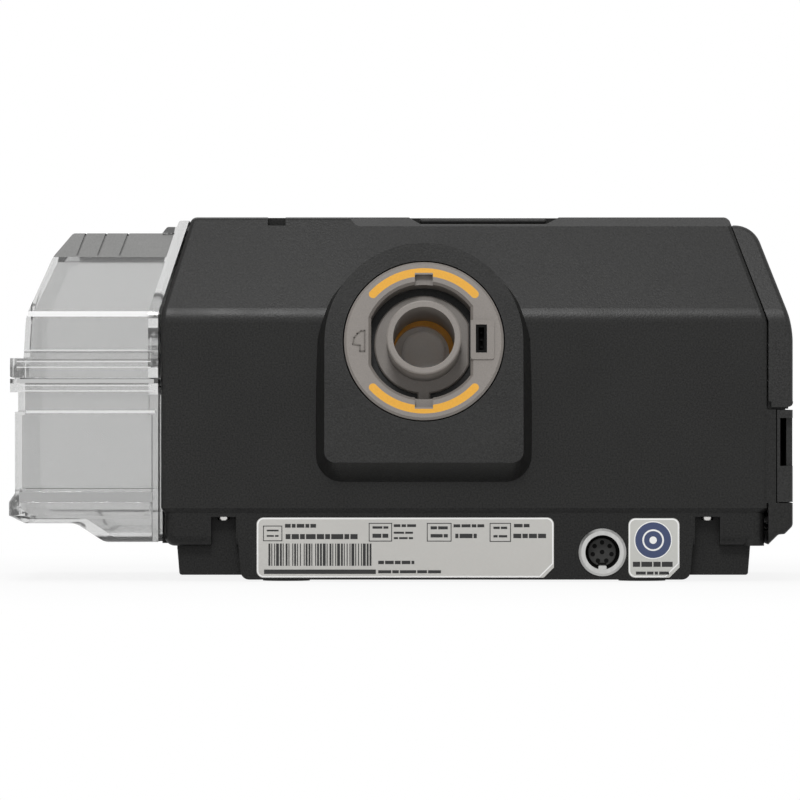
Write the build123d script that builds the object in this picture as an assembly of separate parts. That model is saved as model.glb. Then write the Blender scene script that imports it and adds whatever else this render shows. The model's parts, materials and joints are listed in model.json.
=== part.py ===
"""Bedside positive-airway-pressure machine with a docked humidifier tub.

Millimetres. +Z is up, the front faces -Y, the rear faces +Y and the tub is docked towards +X.
The origin lies under the middle of the machine, on the surface that it stands on.
"""
from build123d import *
from math import cos, pi, radians, sin, tan
import os

os.makedirs("parts", exist_ok=True)

# ---------------------------------------------------------------- driving dimensions
# Main casing
tub_side_x = 70.9            # wall that faces the tub
cover_side_x = -108.8        # wall behind the side covers
rear_y = 62.0                # vertical part of the rear face
front_y = -75.0              # foot of the leaning front face
front_top_y = -36.5
case_top_z = 108.2
seam_z = 21.8                # parting line of the upper casings and the bottom casing
rear_bend_z = 79.0           # above this the rear face leans forward
rear_lean = 25.0             # degrees from vertical
tub_side_bend_z = 79.5
tub_side_lean = 17.0
cover_side_bend_z = 77.2
cover_side_lean = 19.8
bend_radius = 10.0
side_bend_radius = 12.0
crest_radius = 2.2
edge_radius = 1.5
wall = 2.5
split_y = 8.0                # parting plane of the front and rear casings
fit_gap = 0.15               # gap between pieces of one casing that fit beside each other

# Bottom casing
seam_step = 1.0              # the belt lies this far inside the upper casings
seam_bevel = 1.5
belly_z = 10.6
belly_radius = 3.0
plan_radius = 3.2
panel_x = (-87.2, 48.7)      # rear panel that carries the labels and the inlet
panel_draft = 1.5            # the panel is narrower at its foot
panel_round = 2.6
panel_z = 0.6
foot_x = (cover_side_x + 4.8, tub_side_x - 4.4)   # foot blocks at both ends of the panel
foot_draft = 0.9
foot_round = 0.8
foot_z = 1.9
foot_rear_y = 55.0
base_front_y = -60.0
well_width = 7.4             # screw wells between the panel and the corner blocks
well_top_z = 19.2
well_wall = 2.5
base_floor = 2.5
pad_radius = 7.0             # rubber feet
pad_height = 2.0
pad_sink = 1.4
pad_spots = ((-72.0, -46.0), (-72.0, 44.0), (34.0, -46.0), (34.0, 44.0))

# Screws
screw_radius = 1.2
screw_head_radius = 1.9
screw_head_height = 1.2
screw_length = 12.0
screw_drive = (0.6, 2.2, 0.6)  # width, length and depth of the cross recess
screw_y = 58.0
boss_radius = 3.2

# Air outlet
outlet_x = -6.9
outlet_y = 66.0
outlet_z = 71.2
outlet_tilt = 8.0            # degrees upwards
plateau_half = 29.4
plateau_drop = 36.2          # from the outlet's centre down to the plateau's lower edge
plateau_corner = 3.2
plateau_depth = 17.0         # depth of the plateau's root behind its face
plateau_flare = 5.0          # growth of the sides at their foot down to the root
plateau_top_flare = 9.0      # growth of the sides where the arch begins
plateau_foot_flare = 7.8     # growth of the lower edge down to the root
plateau_root_corner = 12.0
plateau_root_rise = 6.0      # height of the sides above the outlet's centre, at the root
plateau_wall = 2.4
collar_radius = 23.6
collar_gap = 0.4
collar_proud = 0.8
collar_depth = 9.0
collar_bevel = 0.7
seat_wall = 2.2
seat_floor = 1.8
opening_radius = 17.1
opening_flat_socket = 13.8   # flat of the opening on the socket side
opening_flat_tub = 15.6      # flat of the opening on the tub side
opening_bevel = 0.8
notch_width = 5.3
notch_reach = 19.8
notch_depth = 2.6
mark_inner = 19.3
mark_outer = 21.7
mark_half_angle = 47.2
mark_depth = 1.0
mark_break = (2.7, 20.3)     # half width and reach of the notch frame into the mark
pad_plate = (13.8, 20.8, -5.6, 6.2)   # raised plate around the socket: u, u, v, v
pad_plate_rise = 0.5
socket_u = 17.0
socket_v = 0.6
socket_width = 3.3
socket_height = 8.4
socket_recess = 0.3
socket_wall = 0.7
socket_well = 5.0
socket_pin = (0.35, 2.2)     # radius and spacing of the contacts
socket_back = (14.6, 19.9, -5.2, 6.4)
socket_back_depth = 10.7
connector_radius = 11.0      # standard 22 mm conical connector
connector_bore = 9.1
connector_reach = 8.0        # beyond the plateau's plane
connector_chamfer = 0.4
flange_radius = 14.7
flange_thickness = 1.8
flange_flat = 13.4
flange_key_width = 3.8
flange_key_reach = 16.8
flange_rest = 0.1
spigot_radius = 12.2
spigot_gap = 0.4
spigot_depth = 20.0
seal_bore = 8.2
seal_shift = 0.6             # the seal sits low and towards the tub
seal_thickness = 2.4
cup_radius = 14.0
cup_wall = 1.6

# Power inlet
inlet_x = -59.8
inlet_z = 8.7
inlet_ring_radius = 7.06
inlet_ring_proud = 1.2
inlet_sleeve_radius = 6.3
inlet_bore = 5.1
inlet_core_radius = 5.4
inlet_depth = 12.0
inlet_recess = 6.5
contact_radius = 0.65
contact_sink = 3.0
contact_ring = 2.9
contact_count = 7
contact_length = 3.4

# Labels
label_thickness = 0.25
rating_label_x = (-45.4, 42.6)
rating_label_z = (1.2, 19.0)
sign_label_x = (-82.6, -67.5)
sign_label_z = (1.2, 18.8)
label_corner = 2.0
label_clip = 4.0

# Control deck and start button
deck_tub_x = 16.4
deck_front_y = -30.0
deck_thickness = 2.7
deck_bevel = 2.0
deck_corner = 4.5
scoop_x = (-47.2, -2.5)
scoop_floor_x = (-43.4, -5.8)
scoop_reach = 12.9           # the scoop's front end, from the casing's rear crest
scoop_floor_rise = 0.7       # above the deck's underside
button_x = (-43.4, -5.8)
button_reach = (10.9, 2.8)   # the button's front and rear sides, from the rear crest
button_gap = 0.25
button_sink = 0.5            # below the deck's top
button_plate = 1.3
button_radius = 0.5
button_stem = (14.0, 4.0)
button_stem_length = 8.0
stem_gap = 0.25
roof_notch_x = (34.2, 39.5)
roof_notch_depth = 2.5
roof_notch_length = 9.0

# Side away from the tub
cover_outer_x = cover_side_x - 7.4
cover_crest = (cover_side_x + 3.8, 105.8)
cover_crest_radius = 8.0
cover_bend_radius = 28.0
cover_lean_foot_z = 75.8
cover_inset = 0.4            # side faces lie this far inside the casing's profile
cover_gap = 0.3
cover_thickness = 1.8
cover_foot = ((0, 16.5), (2.4, 14.1), (4.3, 13.9))   # X from the outer face, and Z
filter_cover_z = 51.7
filter_cover_y = -14.0
louvre_count = 6
louvre_pitch = 3.6
louvre_height = 1.6
louvre_y = (6.0, 48.0)
louvre_z = 56.0
cover_hinge_x = cover_outer_x + 1.3
cover_hinge_z = 53.1
hinge_pin = 0.8
hinge_clearance = 0.05
hinge_pin_reach = 2.0
cover_ear = 2.4
cover_barrel = 1.3
cover_floor_reach = 6.4      # depth of the filter cover's floor, from its outer face
strip_x = cover_side_x - 2.4            # raised strip of the rear casing behind the adapter cover
strip_z = (23.3, 51.0)
adapter_cover_y = 14.0
adapter_cover_z = (23.6, 50.9)
adapter_slot_x = cover_outer_x + 3.8
adapter_slot_z = (34.3, 48.5)
adapter_slot_depth = 4.0
card_door_y = (-46.0, -16.0)
card_door_z = (27.0, 44.0)
card_door_pin = 0.6
card_door_hinge_inset = 1.1
card_size = (24.0, 22.0, 2.1)  # depth, width, thickness
card_centre_y = -31.0
card_z = 34.0
card_gap = 0.3
filter_size = (4.6, 44.0, 16.5)
filter_corner = (5.0, 59.0)  # lowest Y and Z

# Front
fascia_x = (cover_side_x + 7.8, tub_side_x - 7.9)
fascia_top_x = (cover_side_x + 16.8, tub_side_x - 15.4)
fascia_v = (6.0, 88.0)       # along the leaning front face, from the seam
fascia_bend_v = 62.0
fascia_radius = 7.0
fascia_thickness = 2.5
fascia_flange = 2.4
fascia_flange_thickness = 1.2
screen_x = (-90.0, -22.0)
screen_v = (27.0, 77.0)
screen_radius = 3.0
screen_thickness = 1.5
screen_border = 2.5
display_depth = 5.0
dial_x = 14.0
dial_v = 38.0
dial_radius = 18.5
dial_height = 8.0
dial_lift = 1.2
dial_recess = 1.0
dial_shaft = 3.0
shaft_clearance = 0.05
sleeve_radius = 4.4
sleeve_gap = 0.2
encoder_size = (16.0, 9.0)   # side and depth
flute_count = 24
flute_radius = 1.1
home_from_top = 14.0         # home button, from the fascia's upper edge
home_radius = 7.0
home_gap = 0.3
home_height = 4.2
home_proud = 0.9
board_depth = 14.5
board_thickness = 1.6
board_x = (cover_side_x + 13.8, 26.0)
board_post = 2.2
board_posts = ((4.0, 4.0), (-4.0, 4.0), (4.0, -4.0), (-3.0, -3.0))   # from the board's corners
board_chips = ((-60, 40, 14, 14, 1.6), (-30, 62, 10, 10, 1.4), (-78, 70, 12, 18, 6.0), (2, 20, 16, 10, 3.0))
board_v = (8.0, 84.0)

# Humidifier bay and tub
bay_half_y = 45.0
bay_back_x = 31.8
bay_floor_z = 11.2
bay_top_z = 58.2
bay_wall = 1.8
bay_corner = 5.0
slide_gap = 0.5
chamber_half_y = 44.0
chamber_back_x = 33.0
chamber_top_z = 57.4
chamber_corner = 6.0
heater_x = (38.0, 62.0)
heater_half_y = 30.0
heater_corner = 8.0
heater_rise = 0.2
heater_thickness = 2.0
heater_flange = 1.4
port_radius = 6.5
port_z = 69.5
supply_port_y = -22.0
return_port_y = 24.0
port_seal_proud = 0.5
port_seal_wall = 1.2
port_seal_lip = 2.2
duct_wall = 1.4

tub_gap = 0.9                # tub stands this far from the casing wall
tub_inset = 1.6              # tub faces lie this far inside the casing's profile
tub_outer_x = 114.2
tub_wall = 2.0
tub_seam_z = 60.1
tub_flange_height = 4.0
tub_flange_out = 1.4
tub_bottom_z = 17.3
tub_bottom_corner_x = 111.4
pan_bottom_z = 11.7
pan_end_x = 87.6
step_end_x = 96.2
tub_foot_radius = 3.0
lip_x = 116.2
lip_rear_out = 1.0
lip_z = (19.5, 23.5)
lip_taper = 3.1
neck_z = 50.3
neck_inset = 0.9
rim_seal_width = 1.0
rim_seal_depth = 1.2

lid_seam_gap = 0.3
lid_foot_x = 112.0
lid_bend = (110.9, 78.7)
lid_shoulder = (103.3, 96.3)
lid_top = (97.4, 103.4)
lid_wall = 1.8
lid_flange_height = 5.8
dock_top_drop = 1.0          # the docking flange ends this far below the casing's top
dock_top_gap = 0.5
dock_flange_thickness = 3.0
dock_flange_inset = 0.9
dock_web = (2.9, 1.9)        # length and height of the web over the lid's top
lid_port_radius = 6.0
cap_bottom_z = 96.3
cap_thickness = 1.6
groove_width = 0.6
groove_depth = 0.7
groove_top_x = (92.9, 86.8, 80.3)
groove_lean = 23.0
lid_hinge_rise = 3.1         # from the seam up to the lid's hinge
lid_pin = 0.8
knuckle_radius = 1.6
hinge_y = (-34.0, 30.0)
knuckle_width = 9.4
knuckle_gap = 0.3
pin_reach = 3.4              # of a hinge pin into the lid's flange
grip_y = (-14.0, 8.0)
grip_z = (68.6, 77.6)
grip_thickness = 1.2
grip_rib_count = 3
grip_rib = 0.7
plate_thickness = 0.8        # heat plate in the tub's floor

# Blower and ducts
blower_x = -54.0
blower_y = 4.0
blower_base_z = 46.0
blower_height = 26.0
blower_wall = 2.0
blower_inlet = 13.0
volute_start = 28.5
volute_end = 34.5            # the spiral grows to this radius at the nozzle
volute_steps = 12
nozzle_radius = 6.5
impeller_radius = 26.0
impeller_hub = 7.0
impeller_plate = 1.6
impeller_height = 13.0
impeller_lift = 3.0
blade_count = 11
blade_thickness = 1.0
shaft_radius = 2.5
motor_radius = 17.0
motor_height = 20.0
duct_bend = 12.0
duct_run = (8.0, 22.0)       # straight part of the supply duct, and where its climb ends
return_run = 20.0            # straight part of the return duct behind its port
muffler_x = (cover_side_x + 2.6, cover_side_x + 14.8)
muffler_y = (8.0, 50.0)
muffler_z = (28.0, 74.0)

far = 300.0                  # longer than the machine, for cuts that run right through


# ---------------------------------------------------------------- drawing helpers
def prism_x(sketch, x0, x1):
    """A sketch drawn in (Y, Z), pushed along X."""
    plane = Plane((x0, 0, 0), x_dir=(0, 1, 0), z_dir=(1, 0, 0))
    return extrude(plane * sketch, x1 - x0, dir=plane.z_dir)


def prism_y(sketch, y0, y1):
    """A sketch drawn in (X, Z), pushed along Y."""
    plane = Plane((0, y1, 0), x_dir=(1, 0, 0), z_dir=(0, -1, 0))
    return extrude(plane * sketch, y1 - y0, dir=plane.z_dir)


def prism_z(sketch, z0, z1):
    """A sketch drawn in (X, Y), pushed along Z."""
    return extrude(Plane((0, 0, z0)) * sketch, z1 - z0, dir=(0, 0, 1))


def prism_on(plane, sketch, depth0, depth1):
    """A sketch drawn on a plane, pushed along its normal between two depths."""
    return extrude(plane.offset(depth0) * sketch, depth1 - depth0, dir=plane.z_dir)


def rect(u0, u1, v0, v1, radius=0.0):
    """A rectangle from corner to corner, with rounded corners where a radius is given."""
    width, height = u1 - u0, v1 - v0
    shape = RectangleRounded(width, height, radius) if radius else Rectangle(width, height)
    return Pos((u0 + u1) / 2, (v0 + v1) / 2) * shape


def outline(points, radii):
    """A closed polygon whose corners are rounded by one radius each."""
    return make_face(FilletPolyline(*points, radius=radii, close=True))


def block(x, y, z):
    """A box given by its spans along X, Y and Z."""
    return prism_z(rect(x[0], x[1], y[0], y[1]), z[0], z[1])


def rod_x(x0, x1, y, z, radius):
    """A round rod along X."""
    return prism_x(Pos(y, z) * Circle(radius), x0, x1)


def rod_y(y0, y1, x, z, radius):
    """A round rod along Y."""
    return prism_y(Pos(x, z) * Circle(radius), y0, y1)


def rod_z(z0, z1, x, y, radius):
    """A round rod along Z."""
    return prism_z(Pos(x, y) * Circle(radius), z0, z1)


def grown(span, amount):
    """A span made longer by the same amount at both ends."""
    return (span[0] - amount, span[1] + amount)


def save(shape, name):
    """Write one sub-part as a STEP file."""
    shape.label = name
    export_step(shape, f"parts/{name}.step")


# ---------------------------------------------------------------- shared forms and planes
front_slope = (front_top_y - front_y) / (case_top_z - seam_z)
front_stretch = (1 + front_slope ** 2) ** 0.5
rear_tan = tan(radians(rear_lean))
tub_tan = tan(radians(tub_side_lean))
cover_tan = tan(radians(cover_side_lean))

outlet_plane = Plane(
    origin=(outlet_x, outlet_y, outlet_z),
    x_dir=(-1, 0, 0),
    z_dir=(0, cos(radians(outlet_tilt)), sin(radians(outlet_tilt))),
)
front_plane = Plane(
    origin=(0, front_y, seam_z),
    x_dir=(1, 0, 0),
    z_dir=(0, -1 / front_stretch, front_slope / front_stretch),
)


def front_line(z, inset=0.0):
    """Y of the leaning front face at a height, drawn inwards by an inset."""
    return front_y + (z - seam_z) * front_slope + inset * front_stretch


def side_profile(inset, top_z, foot_z0):
    """The casing's profile in (Y, Z), with its crests still sharp; upright below the seam."""
    rear = rear_y - inset
    bend_z = rear_bend_z - inset * tan(radians(rear_lean) / 2)
    points = [
        (rear, foot_z0),
        (rear, bend_z),
        (rear - (top_z - bend_z) * rear_tan, top_z),
        (front_line(top_z, inset), top_z),
        (front_line(max(foot_z0, seam_z), inset), max(foot_z0, seam_z)),
    ]
    radii = [0, bend_radius - inset, 0, 0, 0]
    if foot_z0 < seam_z:
        points.append((points[-1][0], foot_z0))
        radii.append(0)
    return outline(points, radii)


def end_outline(inset, top_z, foot_z0):
    """The casing's outline in (X, Z), drawn inwards by an inset."""
    right = tub_side_x - inset
    left = cover_side_x + inset
    right_bend = tub_side_bend_z - inset * tan(radians(tub_side_lean) / 2)
    left_bend = cover_side_bend_z - inset * tan(radians(cover_side_lean) / 2)
    points = [
        (right, foot_z0),
        (right, right_bend),
        (right - (top_z - right_bend) * tub_tan, top_z),
        (left + (top_z - left_bend) * cover_tan, top_z),
        (left, left_bend),
        (left, foot_z0),
    ]
    bend = side_bend_radius - inset
    return outline(points, [0, bend, crest_radius, crest_radius, bend, 0])


def case_form(inset, top_z, foot_z0):
    """The closed form of the upper casings: profile and outline meet in it."""
    body = prism_x(side_profile(inset, top_z + wall, foot_z0), cover_side_x - 1, tub_side_x + 1)
    return body & prism_y(end_outline(inset, top_z, foot_z0 - 1), front_y - 1, rear_y + 1)


def meeting_edges(form, top_z, foot_z0):
    """Edges where a form's profile and outline meet, and its crests along X."""
    chosen = ShapeList()
    for edge in form.edges():
        run = edge.position_at(1) - edge.position_at(0)
        if run.length < 1e-6 or edge.center().Z < foot_z0 + 0.5:
            continue
        run = run.normalized()
        along_x, along_y = abs(run.X) > 0.999, abs(run.Y) > 0.999
        if along_y or (along_x and edge.center().Z < top_z - 0.1):
            continue
        chosen.append(edge)
    return chosen


def rounded_form(form, top_z, foot_z0, radius):
    """A form with its meeting edges rounded."""
    return fillet(meeting_edges(form, top_z, foot_z0), radius)


case_outer = rounded_form(case_form(0, case_top_z, seam_z), case_top_z, seam_z, edge_radius)
case_cavity = case_form(wall, case_top_z - wall, seam_z - 1)
deck_floor_z = case_top_z - deck_thickness
crest_y = rear_y - (case_top_z - rear_bend_z) * rear_tan
deck_rear_y = rear_y - (deck_floor_z - rear_bend_z) * rear_tan
button_y = (crest_y - button_reach[0], crest_y - button_reach[1])
button_centre = ((button_x[0] + button_x[1]) / 2, (button_y[0] + button_y[1]) / 2)


def ring(plane, outer, inner, depth0, depth1):
    """A round ring on a plane."""
    return prism_on(plane, Circle(outer) - Circle(inner), depth0, depth1)


def deck_zone(gap):
    """Plan of the control deck's seat, with a rounded corner at the rear towards the tub."""
    front, rear = deck_front_y - gap, deck_rear_y + max(gap, 0.01)
    side = deck_tub_x + gap
    points = [(-far, front), (side, front), (side, rear), (-far, rear)]
    return outline(points, [0, deck_corner, deck_corner, 0])


def bay_cut():
    """Space that the bay liner fills, through the casing wall beside the tub."""
    y = bay_half_y + bay_wall
    return block((bay_back_x - bay_wall, far), (-y, y), (bay_floor_z - bay_wall, bay_top_z + bay_wall))


def fascia_cut(grow, depth0, depth1):
    """The fascia's outline, grown by a margin, between two depths of the front face."""
    low, high = grown(fascia_v, grow)
    left, right = grown(fascia_x, grow)
    top_left, top_right = grown(fascia_top_x, grow)
    points = [(left, low), (right, low), (right, fascia_bend_v), (top_right, high), (top_left, high),
              (left, fascia_bend_v)]
    corner, bend = fascia_radius + grow, 2 * fascia_radius + grow
    return prism_on(front_plane, outline(points, [corner, corner, bend, corner, corner, bend]), depth0, depth1)


def side_window(y, z):
    """A rectangular window through the casing's wall behind the side covers."""
    return block((cover_side_x - 1, cover_side_x + 4 * wall), y, z)


filter_y = (filter_corner[0], filter_corner[0] + filter_size[1])
filter_z = (filter_corner[1], filter_corner[1] + filter_size[2])
card_y = (card_centre_y - card_size[1] / 2, card_centre_y + card_size[1] / 2)
card_heights = (card_z, card_z + card_size[2])
home_v = fascia_v[1] - home_from_top
screw_x = (panel_x[0] - well_width / 2, panel_x[1] + well_width / 2)
port_hole = port_radius + port_seal_wall


# ---------------------------------------------------------------- casings
def case_shell():
    """The whole upper shell before it is parted: walls, deck seat, bay mouth and ports."""
    cavity = case_cavity - prism_z(deck_zone(wall), deck_floor_z - wall, case_top_z)
    shell = case_outer - cavity
    shell -= prism_z(deck_zone(0), deck_floor_z, far)
    shell -= bay_cut()
    for y in (supply_port_y, return_port_y):
        shell -= rod_x(tub_side_x - 2 * wall, far, y, port_z, port_hole)
    stem = Pos(*button_centre) * Rectangle(button_stem[0] + 2 * stem_gap, button_stem[1] + 2 * stem_gap)
    return shell - prism_z(stem, deck_floor_z - 2 * wall, far)


def plateau_outline(half, drop, corner):
    """Arched outline of the plateau on the outlet plane."""
    arch = make_face(
        [
            Line((-half, 0), (-half, -drop + corner)),
            JernArc((-half, -drop + corner), (0, -1), corner, 90),
            Line((-half + corner, -drop), (half - corner, -drop)),
            JernArc((half - corner, -drop), (1, 0), corner, 90),
            Line((half, -drop + corner), (half, 0)),
            CenterArc((0, 0), half, 0, 45),
            CenterArc((0, 0), half, 45, 90),
            CenterArc((0, 0), half, 135, 45),
        ]
    )
    return arch


def plateau_root(thin):
    """Outline of the plateau's root: sides that flare most beside the arch, and wide corners."""
    half = plateau_half + plateau_flare - thin
    top_half = plateau_half + plateau_top_flare - thin
    drop = plateau_drop + plateau_foot_flare - thin
    corner = plateau_root_corner
    arch = plateau_half - thin
    shoulder = arch * cos(radians(45))
    middle = ((top_half + shoulder) / 2 + 1.2, (plateau_root_rise + shoulder) / 2 + 1.2)
    return make_face(
        [
            Line((-top_half, plateau_root_rise), (-half, -drop + corner)),
            TangentArc((-half, -drop + corner), (-half + corner, -drop), tangent=(0, -1)),
            Line((-half + corner, -drop), (half - corner, -drop)),
            TangentArc((half - corner, -drop), (half, -drop + corner), tangent=(1, 0)),
            Line((half, -drop + corner), (top_half, plateau_root_rise)),
            ThreePointArc((top_half, plateau_root_rise), middle, (shoulder, shoulder)),
            CenterArc((0, 0), arch, 45, 90),
            ThreePointArc((-shoulder, shoulder), (-middle[0], middle[1]), (-top_half, plateau_root_rise)),
        ]
    )


def plateau(thin):
    """The flared boss behind the outlet's plateau, made thinner all round by an amount."""
    face = plateau_outline(plateau_half - thin, plateau_drop - thin, plateau_corner)
    planes = (outlet_plane.offset(-thin), outlet_plane.offset(-plateau_depth))
    return loft([planes[0] * face, planes[1] * plateau_root(thin)], ruled=True)


def rear_casing():
    """Rear shell with the raised plateau, the collar's seat and the screw bosses."""
    half = block((-far, far), (split_y, far), (-far, far))
    shell = shell_form & half
    hollow = plateau(plateau_wall) + case_cavity
    shell -= plateau(plateau_wall)
    shell += plateau(0) - hollow
    seat_radius = collar_radius + collar_gap
    floor_z = -collar_depth
    shell += ring(outlet_plane, seat_radius + seat_wall, seat_radius, floor_z - seat_floor, -plateau_wall / 2)
    shell -= prism_on(outlet_plane, Circle(seat_radius), floor_z, far)
    shell -= prism_on(outlet_plane, Circle(seat_radius), floor_z - seat_floor - 10, floor_z)
    floor = Circle(seat_radius + seat_wall / 2) - Circle(spigot_radius + spigot_gap)
    shell += prism_on(outlet_plane, floor - rect(*grown(socket_back[:2], 0.2), *grown(socket_back[2:], 0.2)),
                      floor_z - seat_floor, floor_z)
    notch_y = (crest_y - roof_notch_length, rear_y)
    notch_z = case_top_z - roof_notch_depth
    pocket = block(grown(roof_notch_x, wall), (notch_y[0] - wall, rear_y), (notch_z - wall, case_top_z - wall / 2))
    shell += pocket & case_form(wall / 2, case_top_z - wall / 2, seam_z)
    shell -= block(roof_notch_x, notch_y, (notch_z, far))
    shell += block((strip_x, cover_side_x + wall), (adapter_cover_y, rear_y + 1), strip_z) & prism_x(
        side_profile(cover_inset, case_top_z, seam_z), strip_x - 1, 0)
    shell -= side_window(grown(filter_y, -3), grown(filter_z, -3))
    shell += hinge_ear()
    for x in screw_x:
        boss = rod_z(seam_z, seam_z + screw_length, x, screw_y, boss_radius)
        shell += boss & block((-far, far), (0, rear_y - 0.5), (0, far))
        shell -= rod_z(seam_z - 1, well_top_z + screw_length + 0.5, x, screw_y, screw_radius)
    return shell


def front_casing():
    """Front shell with the fascia's opening, the supply port and the card slot."""
    shell = shell_form & block((-far, far), (-far, split_y), (-far, far))
    shell -= fascia_cut(fit_gap, -2 * wall, 1)
    shell -= side_window(grown(card_y, card_gap), grown(card_heights, card_gap))
    return shell


belt_x = (cover_side_x + seam_step, tub_side_x - seam_step)
belt_y = (front_y + seam_step, rear_y - seam_step)


def belly():
    """Closed form of the bottom casing above the feet: belt, rounded belly and bevelled seam."""
    full = rect(cover_side_x, tub_side_x, front_y, rear_y, edge_radius)
    plan = rect(*belt_x, *belt_y, plan_radius)
    top_z = seam_z - seam_bevel
    belt = prism_z(plan, belly_z, top_z)
    belt = fillet(belt.faces().sort_by(Axis.Z)[0].edges(), belly_radius)
    square = rect(belt_x[0], belt_x[0] + 2 * plan_radius, *belt_y, plan_radius - 0.1)
    belt += prism_z(square, belly_z, belly_z + belly_radius)
    return belt + loft([Plane((0, 0, top_z)) * plan, Plane((0, 0, seam_z)) * full], ruled=True)


def drafted(x, low_z, high_z, draft, corner):
    """Outline in (X, Z) of a block that narrows towards its rounded foot."""
    low = grown(x, -draft)
    points = [(x[0], high_z), (low[0], low_z), (low[1], low_z), (x[1], high_z)]
    return outline(points, [0, corner, corner, 0])


def bottom_casing():
    """Belly shell with its bevelled seam, foot blocks, screw wells and rear panel."""
    form = belly()
    shell = form - prism_z(rect(*grown(belt_x, -wall), *grown(belt_y, -wall)), belly_z + base_floor, far)
    for x in screw_x:
        half = well_width / 2
        housing = block((x - half - well_wall, x + half + well_wall), (foot_rear_y - well_wall, belt_y[1]),
                        (belly_z, seam_z))
        shell += housing & form
        shell -= block((x - half, x + half), (foot_rear_y, far), (-1, well_top_z))
        shell -= rod_z(0, far, x, screw_y, screw_radius + 0.1)

    feet_y = (base_front_y + wall, foot_rear_y)
    panel_y = (base_front_y, belt_y[1])
    low = block((-far, far), (-far, far), (0, belly_z + base_floor))
    rear = block((-far, far), (foot_rear_y - well_wall, far), (0, far))
    feet = prism_y(drafted(foot_x, foot_z, belly_z + base_floor, foot_draft, foot_round), *feet_y)
    panel = prism_y(drafted(panel_x, panel_z, well_top_z, panel_draft, panel_round), *panel_y)
    shell += feet + (panel & (low + rear))
    feet_x = grown(foot_x, -wall - foot_draft / 2)
    shell -= block(feet_x, grown(feet_y, -wall), (foot_z + base_floor, far))
    shell -= block(grown(panel_x, -wall - panel_draft), grown(panel_y, -wall), (panel_z + base_floor, far))
    shell -= bay_cut()
    sleeve_y = rear_y - seam_step - inlet_depth - fit_gap
    shell -= rod_y(sleeve_y, far, inlet_x, inlet_z, inlet_sleeve_radius + fit_gap)
    for x, y in pad_spots:
        shell -= rod_z(-1, panel_z + pad_sink, x, y, pad_radius + fit_gap)
    return shell


def rubber_feet():
    """Four round pads let into the underside."""
    top_z = panel_z + pad_sink
    return Compound([rod_z(0, top_z, x, y, pad_radius).solid() for x, y in pad_spots])


def case_screws():
    """Steel screws in the wells, heads under the wells' ceilings."""
    screws = []
    for x in screw_x:
        head = rod_z(well_top_z - screw_head_height, well_top_z, x, screw_y, screw_head_radius)
        head = fillet(head.edges().sort_by(Axis.Z)[0], screw_head_height * 0.6)
        shank = rod_z(well_top_z, well_top_z + screw_length, x, screw_y, screw_radius - 0.02)
        width, length, depth = screw_drive
        cross = rect(-length / 2, length / 2, -width / 2, width / 2) + rect(-width / 2, width / 2, -length / 2, length / 2)
        low_z = well_top_z - screw_head_height
        screws.append((head + shank - prism_z(Pos(x, screw_y) * cross, low_z - 1, low_z + depth)).solid())
    return Compound(screws)


# ---------------------------------------------------------------- control deck
def control_deck():
    """Top panel with its bevelled rear strip and the scoop for the start button."""
    deck = case_outer & prism_z(deck_zone(-fit_gap), deck_floor_z, far)
    rear_top = crest_y - deck_bevel
    bevel = Polygon((deck_rear_y, deck_floor_z), (far, deck_floor_z), (far, case_top_z + 1),
                    (rear_top, case_top_z + 1), (rear_top, case_top_z), align=None)
    deck -= prism_x(bevel, -far, far)
    front_top = deck_front_y + deck_bevel
    front_cut = Polygon((deck_front_y, deck_floor_z + 0.6), (-far, deck_floor_z + 0.6), (-far, case_top_z + 1),
                        (front_top, case_top_z + 1), (front_top, case_top_z), align=None)
    deck -= prism_x(front_cut, -far, far)
    floor_z = deck_floor_z + scoop_floor_rise
    scoop = Polygon((scoop_x[0], case_top_z), (scoop_floor_x[0], floor_z), (scoop_floor_x[1], floor_z),
                    (scoop_x[1], case_top_z), align=None)
    deck -= prism_y(scoop, crest_y - scoop_reach, far)
    deck -= block(grown(button_x, button_gap), grown(button_y, button_gap), (0, far))
    return deck


def start_button():
    """Long bar button with its stem."""
    top_z = case_top_z - button_sink
    plate = block(button_x, button_y, (top_z - button_plate, top_z))
    plate = fillet(plate.edges(), button_radius)
    stem = Pos(*button_centre) * Rectangle(*button_stem)
    return plate + prism_z(stem, top_z - button_plate - button_stem_length, top_z - button_plate / 2)


# ---------------------------------------------------------------- air outlet
def opening_sketch(grow):
    """The collar's opening: a circle cut by two flats."""
    flats = rect(-opening_flat_tub - grow, opening_flat_socket + grow, -far, far)
    return Circle(opening_radius + grow) & flats


def outlet_collar():
    """Round bezel with a flatted opening, notches, inlay grooves and the socket plate."""
    body = prism_on(outlet_plane, Circle(collar_radius), -collar_depth, collar_proud)
    body = chamfer(body.faces().sort_by(Axis(outlet_plane.origin, outlet_plane.z_dir))[-1].edges(), collar_bevel)
    body += prism_on(outlet_plane, rect(*pad_plate, 0.8), 0, collar_proud + pad_plate_rise)
    body -= prism_on(outlet_plane, opening_sketch(0), -far, far)
    rim = loft([outlet_plane.offset(collar_proud - opening_bevel) * opening_sketch(0),
                outlet_plane.offset(collar_proud + 0.02) * opening_sketch(opening_bevel)], ruled=True)
    body -= rim - prism_on(outlet_plane, rect(*pad_plate), -far, far)
    for turn in (0, 180):
        notch = Rot(0, 0, turn) * rect(-notch_width / 2, notch_width / 2, opening_radius - 2, notch_reach)
        body -= prism_on(outlet_plane, notch, collar_proud - notch_depth, far)
    body -= prism_on(outlet_plane, mark_sketch(), collar_proud - mark_depth, far)
    slot = Pos(socket_u, socket_v) * Rectangle(socket_width, socket_height)
    body -= prism_on(outlet_plane, slot, -far, far)
    return body


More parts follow.
